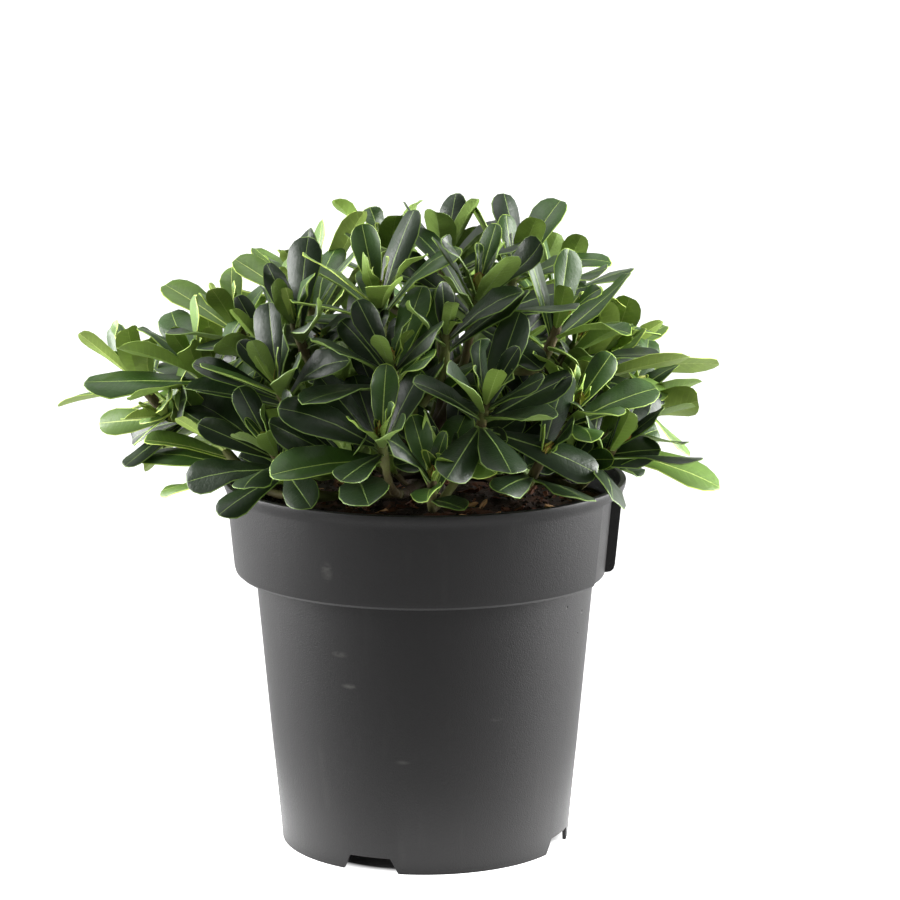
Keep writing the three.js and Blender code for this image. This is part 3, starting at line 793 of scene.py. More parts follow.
stem = {"height": 32, "footRadius": 10, "waistRadius": 7, "topRadius": 6, "lean": (3, -2), "flareFall": 7,
        "flareLobes": 5, "lobeDepth": 0.16, "gap": 0.3}
tiers = {  # fork height up the stem, climb, radius at the stem
    "skirt": (7, 14, 2.2),
    "shoulder": (18, 34, 2.3),
    "crest": (27, 46, 2.4),
}
branches = [  # name, tier, how far the fork is moved, shoots: bearing, reach, height, bearing of the lowest leaf
    ("front_right", "skirt", 0, [[287, 89, 214, 340], [304, 90, 188, 345], [272, 92, 182, 300]]),
    ("front_centre", "skirt", -3, [[259, 97, 200, 285], [248, 84, 188, 232]]),
    ("front_left", "skirt", 1.5, [[227, 96, 191, 290], [206, 97, 186, 205]]),
    ("left_shoulder", "shoulder", 0, [[225, 90, 218, 192], [207, 78, 230, 215]]),
    ("centre", "shoulder", 3, [[260, 80, 229, 320], [278, 66, 240, 265]]),
    ("crest_left", "crest", 0, [[248, 54, 253, 175], [200, 55, 248, 170], [222, 76, 243, 240]]),
    ("crest_right", "crest", -4.5, [[297, 50, 255, 275], [326, 70, 240, 0]]),
    ("crest_middle", "crest", 0, [[40, 12, 264, 150], [12, 42, 258, 30], [118, 38, 259, 110]]),
    ("left", "shoulder", -3, [[191, 103, 219, 200], [174, 131, 209, 350], [178, 84, 234, 170]]),
    ("right", "shoulder", 0, [[8, 74, 214, 10], [350, 68, 228, 330], [24, 66, 248, 40]]),
    ("right_low", "skirt", 0, [[358, 82, 188, 340], [334, 92, 186, 350], [318, 86, 206, 320]]),
    ("right_back", "shoulder", -4.5, [[32, 102, 212, 20], [52, 74, 237, 60], [16, 98, 198, 5]]),
    ("back_right", "skirt", 0, [[62, 94, 208, 60], [48, 96, 190, 40], [74, 96, 191, 90]]),
    ("back", "shoulder", 0, [[92, 84, 226, 100], [76, 52, 250, 70]]),
    ("back_left", "shoulder", 0, [[136, 88, 222, 130], [150, 58, 246, 150]]),
    ("left_back", "skirt", 0, [[156, 104, 203, 160], [138, 96, 192, 140]]),
    ("back_low", "skirt", 0, [[112, 95, 195, 110], [92, 94, 188, 80]]),
]
ownLowest = {"front_right": 177, "front_centre": 177, "front_left": 169, "right_low": 171}  # how low their leaves hang
shootClimb = {"least": 40, "share": 0.5, "middleHeight": 150}
bough = {"collar": 0.15, "collarFall": 7, "highestFork": 0.97}
twig = {"radius": 2.1, "tipRadius": 1.7, "whorlRadius": 2.4, "endRadius": 1.8, "start": 0.6, "fork": 0.68,
        "forkStep": 0.1}
bow = {"leaving": 0.36, "arriving": 0.34}
whorl = {"leavesOnLeader": 12, "leavesOnSide": 9, "turn": 137.5, "depth": 17, "footing": 20, "topInset": 2.5,
         "widest": 88, "closest": 14, "openFall": 0.85, "turnJitter": 9, "openJitter": 7, "rollJitter": 16}
leaf = {"length": 56, "innermost": 0.46, "lengthFall": 1.7, "lengthJitter": 0.17, "width": 0.33, "endAt": 0.96,
        "endWidth": 0.5, "endFold": 0.05, "bend": 26, "innerBend": 0.3, "bendJitter": 0.4, "rootInset": 0.3,
        "lowest": 161}
branchSeed = {"first": 101, "step": 37}
room = {"tries": 8, "turn": 11, "close": 6, "shortenFrom": 4, "shorten": 0.82, "tolerance": 0.15}


def seededRandom(seed):
    state = seed

    def draw():
        nonlocal state
        state = (state * 1664525 + 1013904223) % 4294967296
        return state / 4294967296
    return draw


def jittered(random, size):
    return (random() * 2 - 1) * size


def between(random, limits):
    return lerp(*limits, random())


def polar(bearing, reach, height):
    angle = math.radians(bearing)
    return Vector((reach * math.cos(angle), reach * math.sin(angle), height))


def direction(bearing, climb):
    angle = math.radians(climb)
    return polar(bearing, math.cos(angle), math.sin(angle))


def alongCurve(curve, share):
    a, b, c, d = curve
    left = 1 - share
    return a * left ** 3 + b * (3 * left ** 2 * share) + c * (3 * left * share ** 2) + d * share ** 3


def curveHeading(curve, share):
    a, b, c, d = curve
    left = 1 - share
    return ((b - a) * (left ** 2) + (c - b) * (2 * left * share) + (d - c) * share ** 2).normalized()


def bowed(start, leaving, end, arriving):
    length = (end - start).length
    return start, start + leaving * length * bow["leaving"], end - arriving * length * bow["arriving"], end


stemFoot = Vector((0, 0, medium["crownHeight"] + stem["gap"]))
stemMiddle = stemFoot + Vector((0, 0, stem["height"] / 2))
stemTop = Vector((*stem["lean"], stemFoot.z + stem["height"]))


def stemPoint(share):
    left = 1 - share
    return stemFoot * left ** 2 + stemMiddle * (2 * left * share) + stemTop * share ** 2


def shootPlace(bearing, reach, height, lead):
    outlook = math.degrees(math.atan2(height - shootClimb["middleHeight"], reach))
    tip = polar(bearing, reach, height)
    axis = direction(bearing, shootClimb["least"] + shootClimb["share"] * outlook)
    return {"bearing": bearing, "lead": lead, "tip": tip, "axis": axis, "foot": tip - axis * whorl["footing"]}


def branchShoots(tier, lift, shoots):
    forkHeight, climb, radius = tiers[tier]
    leader, *sides = [shootPlace(*shoot) for shoot in shoots]
    forkAt = min(bough["highestFork"], (forkHeight + lift) / stem["height"])
    curve = bowed(stemPoint(forkAt), direction(leader["bearing"], climb), leader["foot"], leader["axis"])
    leader.update(curve=curve, start=twig["start"], leaves=whorl["leavesOnLeader"])
    for i, side in enumerate(sides):
        at = twig["fork"] + i * twig["forkStep"]
        own = bowed(alongCurve(curve, at), curveHeading(curve, at), side["foot"], side["axis"])
        side.update(curve=own, start=0, leaves=whorl["leavesOnSide"])
    return [leader, *sides]


def leavesOf(shoot, random):
    blades = []
    for i in range(shoot["leaves"]):
        inward = i / (shoot["leaves"] - 1)
        inner = lerp(1, leaf["innermost"], inward ** leaf["lengthFall"])
        opened = lerp(whorl["widest"], whorl["closest"], inward ** whorl["openFall"])
        blades.append({
            "bearing": shoot["lead"] + i * whorl["turn"] + jittered(random, whorl["turnJitter"]),
            "open": opened + jittered(random, whorl["openJitter"]),
            "roll": jittered(random, whorl["rollJitter"]),
            "length": leaf["length"] * inner * (1 + jittered(random, leaf["lengthJitter"])),
            "bend": leaf["bend"] * lerp(1, leaf["innerBend"], inward) * (1 + jittered(random, leaf["bendJitter"])),
            "down": lerp(whorl["depth"], whorl["topInset"], inward),
            "inward": inward,
        })
    return blades


def leafFrame(shoot, blade, turn, close):
    axis = shoot["axis"]
    level = polar(blade["bearing"] + turn, 1, 0)
    radial = (level - axis * level.dot(axis)).normalized()
    opened = math.radians(blade["open"] - close)
    along = axis * math.cos(opened) + radial * math.sin(opened)
    face = axis * math.sin(opened) - radial * math.cos(opened)
    face.rotate(Matrix.Rotation(math.radians(blade["roll"]), 3, along))
    across = face.cross(along)
    root = shoot["tip"] - axis * blade["down"] + radial * leaf["rootInset"]
    return {"root": root, "along": along, "face": face, "across": across}


def bladePoint(axes, blade, share, side, lift):
    bend = math.radians(blade["bend"])
    angle = bend * share
    radius = blade["length"] / bend
    forward = (radius + lift) * math.sin(angle)
    upward = lift * math.cos(angle) - radius * (1 - math.cos(angle))
    return axes["root"] + axes["along"] * forward + axes["face"] * upward + axes["across"] * side


def alternate(attempt):
    return (1 if attempt % 2 else -1) * math.ceil(attempt / 2)


def solidCorners(name):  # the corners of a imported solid, to see which of a leaf's tries found room there
    vertices = frame["nodes"][name].data.vertices
    tree = KDTree(len(vertices))
    for i, vertex in enumerate(vertices):
        tree.insert(vertex.co / mm, i)
    tree.balance()
    return tree


def placeLeaf(shoot, blade, corners):
    for attempt in range(room["tries"]):
        if attempt == room["shortenFrom"]:
            blade["length"] *= room["shorten"]
        axes = leafFrame(shoot, blade, alternate(attempt) * room["turn"], attempt // 2 * room["close"])
        width = blade["length"] * leaf["width"]
        ends = [bladePoint(axes, blade, leaf["endAt"], side * width / 2 * leaf["endWidth"], width * leaf["endFold"])
                for side in (-1, 1)]
        if all(corners.find(end)[2] < room["tolerance"] for end in ends):
            return axes
    return None


def growRuled():
    for index, (name, tier, lift, shoots) in enumerate(branches):
        random = seededRandom(branchSeed["first"] + index * branchSeed["step"])
        corners = solidCorners(f"foliage_{name}")
        branch = {"name": name, "tier": tier, "shoots": branchShoots(tier, lift, shoots)}
        for shoot in branch["shoots"]:
            shoot["blades"] = []
            for blade in leavesOf(shoot, random):
                axes = placeLeaf(shoot, blade, corners)
                if axes:
                    shoot["blades"].append({**blade, **axes})
        yield branch


plant = list(growRuled())
print("leaves of the rule:", sum(len(shoot["blades"]) for branch in plant for shoot in branch["shoots"]))


# finer growth: small side twigs with short leaves that fill the crown inside the same reach, and the tips

finer = {
    "seed": 4117,
    "perShoot": 3,
    "fork": (0.05, 0.58),  # shares of a shoot's curve between which they fork
    "swing": 62,  # degrees to either side of the shoot's bearing
    "swingShare": (0.55, 1),
    "climb": (18, 58),
    "onward": 0.5,  # how much of the shoot's own heading they keep
    "length": (18, 32),
    "footing": 11,
    "radius": 1.25,
    "tries": 9,
    "turn": 14,  # degrees that a leaf's tries turn and close it by
    "close": 7,
    "reach": 17,  # how far a leaf's tip may stand from the nearest corner of its mass's solid
    "inside": 6,  # how far below its shoot's own leaves a leaf's tip stays
    "topLimit": 3,
    "clearance": 2,  # over the lowest leaf of its mass
    "nearby": 75,  # leaves farther apart than this can't touch
    "fewest": 3,  # a shoot with fewer leaves is left out
}
finerLeaf = {"count": 7, "length": 45, "innermost": 0.55, "lengthFall": 1.5, "lengths": (0.85, 1.15), "open": (82, 22),
             "openJitter": 8, "bend": (28, 8), "bends": (0.7, 1.3), "down": (9, 1.5)}
tips = {"leaves": 2, "turn": 50, "length": (12, 23), "open": (9, 30), "bend": (-4, -18), "down": (1, 2),
        "slimness": 0.1, "inward": 1.2, "scales": 6, "scaleTurn": 20, "scaleLength": (6.5, 10.5), "scaleOpen": (3, 11),
        "scaleBend": -24, "scaleDown": 0.6, "scaleSlimness": 0.24, "onFiner": 0.75}


def fanOf(axes, blade):  # a leaf as a flat shape of six corners
    wide = blade["length"] * leaf["width"] / 2
    marks = [(0.3, 0), (0.55, -wide * 0.9), (0.85, -wide * 0.85), (1, 0), (0.85, wide * 0.85), (0.55, wide * 0.9)]
    return [bladePoint(axes, blade, share, side, 0) for share, side in marks]


def treeOfFans(fans):
    points = [point for fan in fans for point in fan]
    return BVHTree.FromPolygons(points, [tuple(range(i * 6, i * 6 + 6)) for i in range(len(fans))])


def finerShoots(branch, random):
    made = []
    for shoot in branch["shoots"]:
        for k in range(finer["perShoot"]):
            at = between(random, finer["fork"])
            side = 1 if (k + len(made)) % 2 else -1
            bearing = shoot["bearing"] + side * finer["swing"] * between(random, finer["swingShare"])
            axis = direction(bearing, between(random, finer["climb"]))
            fork, heading = alongCurve(shoot["curve"], at), curveHeading(shoot["curve"], at)
            tip = fork + (axis + heading * finer["onward"]).normalized() * between(random, finer["length"])
            foot = tip - axis * finer["footing"]
            made.append({"bearing": bearing, "lead": bearing + 180 * random(), "tip": tip, "axis": axis, "foot": foot,
                         "curve": bowed(fork, heading, foot, axis), "start": 0, "blades": [], "parent": shoot})
    return made


def finerLeaves(shoot, random):
    for i in range(finerLeaf["count"]):
        inward = i / (finerLeaf["count"] - 1)
        inner = lerp(1, finerLeaf["innermost"], inward ** finerLeaf["lengthFall"])
        yield {
            "bearing": shoot["lead"] + i * whorl["turn"],
            "open": lerp(*finerLeaf["open"], inward) + jittered(random, finerLeaf["openJitter"]),
            "roll": jittered(random, whorl["rollJitter"]),
            "length": finerLeaf["length"] * inner * between(random, finerLeaf["lengths"]),
            "bend": lerp(*finerLeaf["bend"], inward) * between(random, finerLeaf["bends"]),
            "down": lerp(*finerLeaf["down"], inward),
            "inward": inward,
        }


def growFiner():
    random = seededRandom(finer["seed"])
    ruled = treeOfFans([fanOf(blade, blade) for shoot in allShoots() for blade in shoot["blades"]])
    fresh = []
    highest = (cadBox[1] / mm).z - finer["topLimit"]
    for branch in plant:
        corners = solidCorners(f"foliage_{branch['name']}")
        lowest = ownLowest.get(branch["name"], leaf["lowest"]) + finer["clearance"]
        for shoot in finerShoots(branch, random):
            parent = shoot["parent"]
            for blade in finerLeaves(shoot, random):
                for attempt in range(finer["tries"]):
                    axes = leafFrame(shoot, blade, alternate(attempt) * finer["turn"], attempt // 2 * finer["close"])
                    tip = bladePoint(axes, blade, 1, 0, 0)
                    fan = fanOf(axes, blade)
                    if min(point.z for point in fan) < lowest or tip.z > highest:
                        continue
                    beyond = (tip - parent["tip"]).dot(parent["axis"]) > -finer["inside"]
                    if beyond or corners.find(tip)[2] > finer["reach"]:
                        continue
                    own = treeOfFans([fan])
                    near = [other for place, other in fresh if (place - tip).length < finer["nearby"]]
                    if ruled.overlap(own) or any(other.overlap(own) for other in near):
                        continue
                    fresh.append((tip, own))
                    shoot["blades"].append({**blade, **axes})
                    break
            if len(shoot["blades"]) >= finer["fewest"]:
                branch["shoots"].append(shoot)
    return len(fresh)


def growTips():
    random = seededRandom(finer["seed"] + 1)
    for shoot in allShoots():
        small = tips["onFiner"] if "parent" in shoot else 1
        for i in range(tips["leaves"]):
            blade = {"bearing": shoot["lead"] + tips["turn"] + i * whorl["turn"], "roll": 0,
                     "open": between(random, tips["open"]), "length": between(random, tips["length"]) * small,
                     "bend": between(random, tips["bend"]), "down": between(random, tips["down"]),
                     "inward": tips["inward"], "slimness": tips["slimness"]}
            shoot["blades"].append({**blade, **leafFrame(shoot, blade, 0, 0)})
        shoot["scales"] = []
        for i in range(tips["scales"]):
            scale = {"bearing": shoot["lead"] + tips["scaleTurn"] + i * whorl["turn"], "roll": 0,
                     "open": between(random, tips["scaleOpen"]), "length": between(random, tips["scaleLength"]) * small,
                     "bend": tips["scaleBend"], "down": tips["scaleDown"], "slimness": tips["scaleSlimness"]}
            shoot["scales"].append({**scale, **leafFrame(shoot, scale, 0, 0)})


def allShoots():
    return [shoot for branch in plant for shoot in branch["shoots"]]


looseLeaves = [  # single leaves, given one by one: branch, shoot, bearing, open, roll, length, bend, down, slimness, kind
    ("front_left", 0, 219, 64, -14, 37, 24, 16, 0.2, "leavesDark"),
    ("front_left", 0, 280, 70, 0, 39, 24, 16, 0.2, "leavesDark"),
    ("front_left", 1, 160, 80, 10, 45, 8, 14, 0.15, "leavesYoung"),
    ("front_right", 1, 300, 44, -8, 46, 18, 15, 0.21, "leavesDark"),
    ("front_right", 0, 288, 66, -10, 44, 20, 15, 0.21, "leavesDark"),
    ("front_right", 2, 300, 46, 0, 28, 14, 15, 0.2, "leavesDark"),
    ("right_low", 0, 352, 54, 28, 61, 32, 14, 0.18, "leavesYoung"),
    ("crest_middle", 1, 120, 20, 0, 46, 32, 8, 0.18, "leavesDark"),
    ("crest_middle", 1, 64, 20, 0, 50, 30, 8, 0.15, "leavesGreen"),
]


def growLoose():
    labels = ("bearing", "open", "roll", "length", "bend", "down", "slimness")
    for branchName, number, *values, kind in looseLeaves:
        branch = next(item for item in plant if item["name"] == branchName)
        blade = dict(zip(labels, values), calm=True)
        yield kind, {**blade, **leafFrame(branch["shoots"][number], blade, 0, 0)}


print("finer leaves:", growFiner())
growTips()


# limbs

limbs = {
    "stepLength": 1.6,  # between the rings of a limb
    "stemRings": 46,
    "stemSides": 48,
    "stemClosing": 0.9,  # the share of the stem's height from which its top closes
    "furrowStretch": 0.4,
    "furrowLevel": 0.55,
    "finerGrain": 2.7,
    "stemGrain": 420.0,
    "stemRelief": 3.0,
    "boughSides": 12,
    "boughStations": 24,
    "boughGrain": 520.0,
    "boughRelief": 1.5,
    "twigSides": 8,
    "twigStations": 18,
    "twigGrain": 700.0,
    "twigRelief": 0.5,
}


def attribute(geometry, label, kind="FLOAT"):
    return geometry.node("GeometryNodeInputNamedAttribute", {"data_type": kind}, {"Name": label}, "Attribute")


def raised(geometry, height, material):  # moves a surface along its normals and ends the tree
    offset = geometry.node("GeometryNodeInputNormal").scaled(height)
    return closed(clothed(realized(smoothed(moved(geometry, {"Offset": offset}))), material))


def limbTree(name, material, sides, values):
    inputs = geometryTree(name, values)
    geometry, grain = inputs["Geometry"], inputs["Grain"]
    line = geometry.node("GeometryNodeMeshToCurve", {"mode": "EDGES"}, {0: geometry})
    circle = {"Resolution": sides, "Radius": 1.0}
    profile = geometry.node("GeometryNodeCurvePrimitiveCircle", {"mode": "RADIUS"}, circle)
    swept = {"Curve": line, "Profile Curve": profile, "Scale": attribute(geometry, "limbRadius"), "Fill Caps": True}
    tube = geometry.node("GeometryNodeCurveToMesh", {}, swept)
    place = geometry.node("GeometryNodeInputPosition")
    coarse, fine = noise(place, grain, 3.0), noise(place, grain * limbs["finerGrain"], 2.0)
    return raised(tube, (coarse - 0.5 + (fine - 0.5) * 0.5) * inputs["Relief"], material)


def stemTree(material, values):
    inputs = geometryTree("barkRelief", values)
    place = inputs["Geometry"].node("GeometryNodeInputPosition")
    furrows = noise(place.vector("MULTIPLY", (1.0, 1.0, limbs["furrowStretch"])), inputs["Grain"], 4.0)
    return raised(inputs["Geometry"], (furrows - limbs["furrowLevel"]) * inputs["Relief"], material)


def lineOf(stations):  # evenly spaced points and radii along a limb's stations, in metres
    points, radii = [stations[0][0] * mm], [stations[0][1] * mm]
    for (start, startRadius), (end, endRadius) in zip(stations, stations[1:]):
        steps = max(1, round((end - start).length / limbs["stepLength"]))
        for i in range(1, steps + 1):
            points.append(start.lerp(end, i / steps) * mm)
            radii.append(lerp(startRadius, endRadius, i / steps) * mm)
    return points, radii


def linesMesh(name, lines):
    points, radii, edges = [], [], []
    for linePoints, lineRadii in lines:
        first = len(points)
        points += linePoints
        radii += lineRadii
        edges += [(i, i + 1) for i in range(first, len(points) - 1)]
    return pointsMesh(name, points, edges, {"limbRadius": radii})


def boughLine(branch):
    curve = branch["shoots"][0]["curve"]
    thick = tiers[branch["tier"]][2]
    stations = []
    for i in range(limbs["boughStations"] + 1):
        share = i / limbs["boughStations"]
        collar = 1 + bough["collar"] * math.exp(-share * bough["collarFall"])
        point = alongCurve(curve, share * (twig["start"] + 0.01))
        stations.append((point, lerp(thick, twig["radius"], share) * collar))
    return lineOf(stations)


def twigLine(shoot):
    thin = finer["radius"] / twig["radius"] if "parent" in shoot else 1
    stations = []
    for i in range(limbs["twigStations"] + 1):
        share = i / limbs["twigStations"]
        radius = lerp(twig["radius"] * thin, twig["tipRadius"] * thin, share)
        stations.append((alongCurve(shoot["curve"], lerp(shoot["start"], 1, share)), radius))
    reach = (shoot["tip"] - shoot["foot"]).length
    swelling = (0.75, twig["whorlRadius"], 1), (0.15, twig["whorlRadius"], 0.9), (0, twig["endRadius"], 0.7)
    for below, radius, share in swelling:
        stations.append((shoot["tip"] - shoot["axis"] * reach * below, radius * thin * share))
    return lineOf(stations)


def stemMesh():
    points = []
    rings, sides, closing = limbs["stemRings"], limbs["stemSides"], limbs["stemClosing"]
    for i in range(rings + 1):
        share = i / rings
        fall = math.exp(-share * stem["flareFall"])
        radius = lerp(stem["waistRadius"], stem["topRadius"], share)
        radius += (stem["footRadius"] - stem["waistRadius"]) * fall
        if share > closing:
            radius *= math.sqrt(max(0.0, 1 - ((share - closing) / (1 - closing)) ** 2))
        middle = stemPoint(min(share, 0.99))
        for k in range(sides):
            angle = 2 * math.pi * k / sides
            reach = radius * (1 + stem["lobeDepth"] * fall * math.cos(angle * stem["flareLobes"]))
            point = (middle + Vector((math.cos(angle) * reach, math.sin(angle) * reach, 0))) * mm
            points.append(tuple(point))
    return outward(solid("stemShape", points, ringFaces(rings, sides) + [tuple(reversed(range(sides)))]))


def bark(name, dark, pale, green):
    material, start, shader = principled(name, {"Specular IOR Level": 0.22})
    fibres = noiseOn(start, 260, 4, (1, 1, 0.5), 0.65)
    patches = noiseOn(start, 60, 2).ramped(0.42, 0.62)
    colour = patches.mixed(fibres.mixed(tone(dark), tone(pale)), tone(green))
    return surface(material, shader, colour, fibres * 0.15 + 0.62, fibres.bumped(0.0009))


def joinedPiece(name, parts):
    with bpy.context.temp_override(active_object=parts[0], selected_editable_objects=parts, selected_objects=parts):
        bpy.ops.object.join()
    parts[0].name = parts[0].data.name = name
    return parts[0]


def reliefOf(kind):
    return {"Relief": limbs[kind + "Relief"] * mm, "Grain": limbs[kind + "Grain"]}


def grownLimbs(name, source, kind, material):
    values = reliefOf(kind)
    piece = grown(name, source, limbTree(name + "Tubes", material, limbs[kind + "Sides"], values), values)
    discard(source)
    return piece


def makeLimbs():
    oldBark = bark("barkOfStem", (32, 24, 18), (74, 60, 44), (58, 54, 34))
    youngBark = bark("barkOfTwigs", (48, 40, 26), (88, 78, 48), (82, 88, 44))
    boughSource = linesMesh("boughLines", [boughLine(branch) for branch in plant])
    boughs = grownLimbs("boughPart", boughSource, "bough", oldBark)
    source, values = stemMesh(), reliefOf("stem")
    trunk = grown("stemPart", source, stemTree(oldBark, values), values)
    discard(source)
    finishPiece(joinedPiece("stemAndBoughs", [trunk, boughs]), "bark", "main_stem", *boughNodes)
    twigSource = linesMesh("twigLines", [twigLine(shoot) for shoot in allShoots()])
    finishPiece(grownLimbs("twigs", twigSource, "twig", youngBark), "bark", *foliageNodes)


makeLimbs()
print("limbs made")


# leaves

shape = {
    "rim": 0.28,  # width of the pale edge
    "rib": 0.4,  # half the width of the pale midrib
    "stalk": 1.05,  # half the width of the stalk
    "thickness": 0.9,
    "groove": 0.25,
    "ribDepth": 0.4,
    "taper": 1.15,
    "blunt": 2.8,
    "fullest": 0.534,  # the outline's own half width where it is widest
    "rimAtTip": 1.3,
    "ribFall": 0.75,
    "thinning": 0.4,
    "grooveWidth": 1.5,
    "rows": (0, 0.1, 0.5, 0.75, 0.87, 0.94, 0.983, 1),
    "scaleRows": (0, 0.4, 0.8, 1),
}
tints = {  # upper face, underside, rim, rib, roughness
    "leavesDark": ((18, 34, 11), (96, 119, 50), (92, 116, 48), (100, 120, 62), 0.42),
    "leavesGreen": ((42, 67, 22), (112, 138, 55), (134, 160, 66), (134, 156, 77), 0.41),
    # the pale tint of young tip leaves, which is also dealt to sprays at the sides and the back as a painted backlight
    "leavesYoung": ((78, 105, 36), (128, 150, 66), (168, 188, 82), (168, 183, 100), 0.45),
}
shades = {  # a spray is lighter towards the sides and the back, a painted backlight that stands in for light shining through its leaves, and some of its leaves are a shade off
    "dark": 0.6,
    "green": 0.86,
    "draw": 0.8,
    "middle": -8,
    "edge": 115,
    "left": 0.52,
    "right": 0.35,
    "back": 0.05,
    "backFrom": 25,
    "lighter": 0.12,
    "darker": 0.08,
}
habit = {  # how leaves differ: a middle value and its jitter, or the least and the most
    "seed": 977,
    "curled": 0.3,  # the share of leaves that curl
    "widthJitter": 0.13,
    "leastBend": 1.5,
    "fold": (0.3, 0.14),
    "camber": (0.24, 0.3),
    "wave": (0.9, 2.2),
    "curledWave": 1.9,
    "calmWave": 0.8,
    "waveCount": (0.7, 1.6),
    "curledTwist": 0.6,
    "calmTwist": 0.16,
    "tipCurl": (0.07, 0.2),
    "curledDown": 0.75,
    "curledUp": -0.8,
    "calmCurl": 0.035,
    "wedge": (0.98, 0.14),
    "curlFrom": 178,  # a tip lower than this may not curl down over the rim
    "curlOver": 12,
}


def leafPattern(rows):  # columns: the rim, the half, the rib, the half and the rim, then the rib below
    labels = ("halfShare", "rimShare", "ribShare", "tipShare", "layer", "reach")
    columns = [(-1, 0, 0, 0, 0), (-1, 1, 0, 1, 1), (0, 0, -1, 1, 1), (0, 0, 1, 1, 1), (1, 1, 0, 1, 1), (1, 0, 0, 0, 0),
               (0, 0, 1, 0, -1), (0, 0, -1, 0, -1)]
    strips = [(0, 1, 1), (1, 2, 0), (2, 3, 2), (3, 4, 0), (4, 5, 1), (5, 6, 3), (6, 7, 2), (7, 0, 3)]
    points, traits, faces, parts = [], [], [], []
    for v in rows[:-1]:
        points += [(k * 0.1, v, column[4] * 0.1) for k, column in enumerate(columns)]
        traits += [(*column, v) for column in columns]
    outerTip, innerTip = len(points), len(points) + 1
    points += [(0.25, 1.0, 0.0), (0.25, 0.99, 0.1)]
    traits += [(0, 0, 0, 0, 0, 1), (0, 0, 0, 1, 1, 1)]
    count = len(columns)
    for i in range(len(rows) - 1):
        low = [i * count + k for k in range(count)]
        high = [(i + 1) * count + k for k in range(count)]
        if i == len(rows) - 2:
            high = [outerTip, innerTip, innerTip, innerTip, innerTip, outerTip, outerTip, outerTip]
        for one, other, part in strips:
            ring = [low[one], high[one], high[other], low[other]]
            if part == 3:  # both skins fold along the same diagonals, so neither comes through the other
                ring = ring[1:] + ring[:1]
            face = list(dict.fromkeys(ring))
            if len(face) > 2:
                faces.append(face)
                parts.append(2 if i == 0 else part)
    faces.append(list(range(count)))
    parts.append(2)
    piece = solid("leafPattern", points, faces)
    mesh = piece.data
    for label, series in zip(labels, zip(*traits)):
        mesh.attributes.new(label, "FLOAT", "POINT").data.foreach_set("value", np.array(series, np.float32))
    mesh.attributes.new("part", "INT", "FACE").data.foreach_set("value", parts)
    outer = {i for i in range(outerTip) if i % count in (0, 5)} | {outerTip}
    rim = [all(vertex in outer for vertex in edge.vertices) for edge in mesh.edges]
    mesh.attributes.new("sharp_edge", "BOOLEAN", "EDGE").data.foreach_set("value", rim)
    return piece


def leafTree(name, materials, values):
    inputs = geometryTree(name, values)
    geometry = inputs["Geometry"]

    def read(label):
        return attribute(geometry, label)

    def along(label, amount):
        return attribute(geometry, label, "FLOAT_VECTOR").scaled(amount)

    pattern = geometry.node("GeometryNodeObjectInfo", {}, {"Object": inputs["Pattern"]}, "Geometry")
    spread = geometry.node("GeometryNodeInstanceOnPoints", {}, {"Points": geometry, "Instance": pattern})
    length, halfWidth, bend, layer = read("length"), read("halfWidth"), read("bend"), read("layer")
    v = (read("reach") - read("tipShare") * inputs["Rim"] * shape["rimAtTip"] / length).to("MAXIMUM", 0.0)
    end = (1.0 - v ** inputs["Blunt"]).to("MAXIMUM", 0.0).to("SQRT")
    taper = read("wedge") * inputs["Taper"]
    width = end * (halfWidth * (v ** taper) / shape["fullest"] + inputs["Stalk"] * (1.0 - v))
    ribHalf = inputs["Rib"] * (1.0 - v * shape["ribFall"])
    inner = (width - read("rimShare") * inputs["Rim"]).to("MAXIMUM", (width * 0.8).to("MINIMUM", ribHalf))
    side = read("halfShare") * inner + read("ribShare") * ribHalf.to("MINIMUM", width * 0.5)
    aside = side.to("ABSOLUTE")
    out = side / halfWidth
    cup = read("fold") * aside - read("camber") * side * out
    ripple = (v * read("waveCount") * fullTurn + read("phase")).to("SINE") * read("wave") * out * v
    body = inputs["Thickness"] * (1.0 - v * shape["thinning"])
    isRib = 1.0 - (aside / (inputs["Rib"] * shape["grooveWidth"])).to("MINIMUM", 1.0)
    above = layer.to("MAXIMUM", 0.0)
    below = (0.0 - layer).to("MAXIMUM", 0.0)
    underside = body * 0.5 + inputs["Rib depth"] * (1.0 - v) * end
    skin = body * 0.5 * above - isRib * above * inputs["Groove"] * end - below * underside
    lift = cup + ripple + skin
    turn = read("twist") * v
    aslant = side * turn.to("COSINE") - lift * turn.to("SINE")
    raisedBy = side * turn.to("SINE") + lift * turn.to("COSINE")
    angle = bend * v
    radius = length / bend
    curl = read("tipCurl") * length * (v ** 4.0)
    forward = (radius + raisedBy) * angle.to("SINE")
    upward = raisedBy * angle.to("COSINE") - radius * (1.0 - angle.to("COSINE")) - curl
    place = attribute(geometry, "root", "FLOAT_VECTOR").vector("ADD", along("along", forward))
    place = place.vector("ADD", along("face", upward)).vector("ADD", along("across", aslant))
    result = smoothed(moved(realized(spread), {"Position": place}))
    part = attribute(geometry, "part", "INT")
    for number, material in enumerate(materials):
        equal = {"data_type": "INT", "operation": "EQUAL"}
        chosen = geometry.node("FunctionNodeCompare", equal, {2: part, 3: number})
        result = clothed(result, material, Selection=chosen)
    return closed(result)


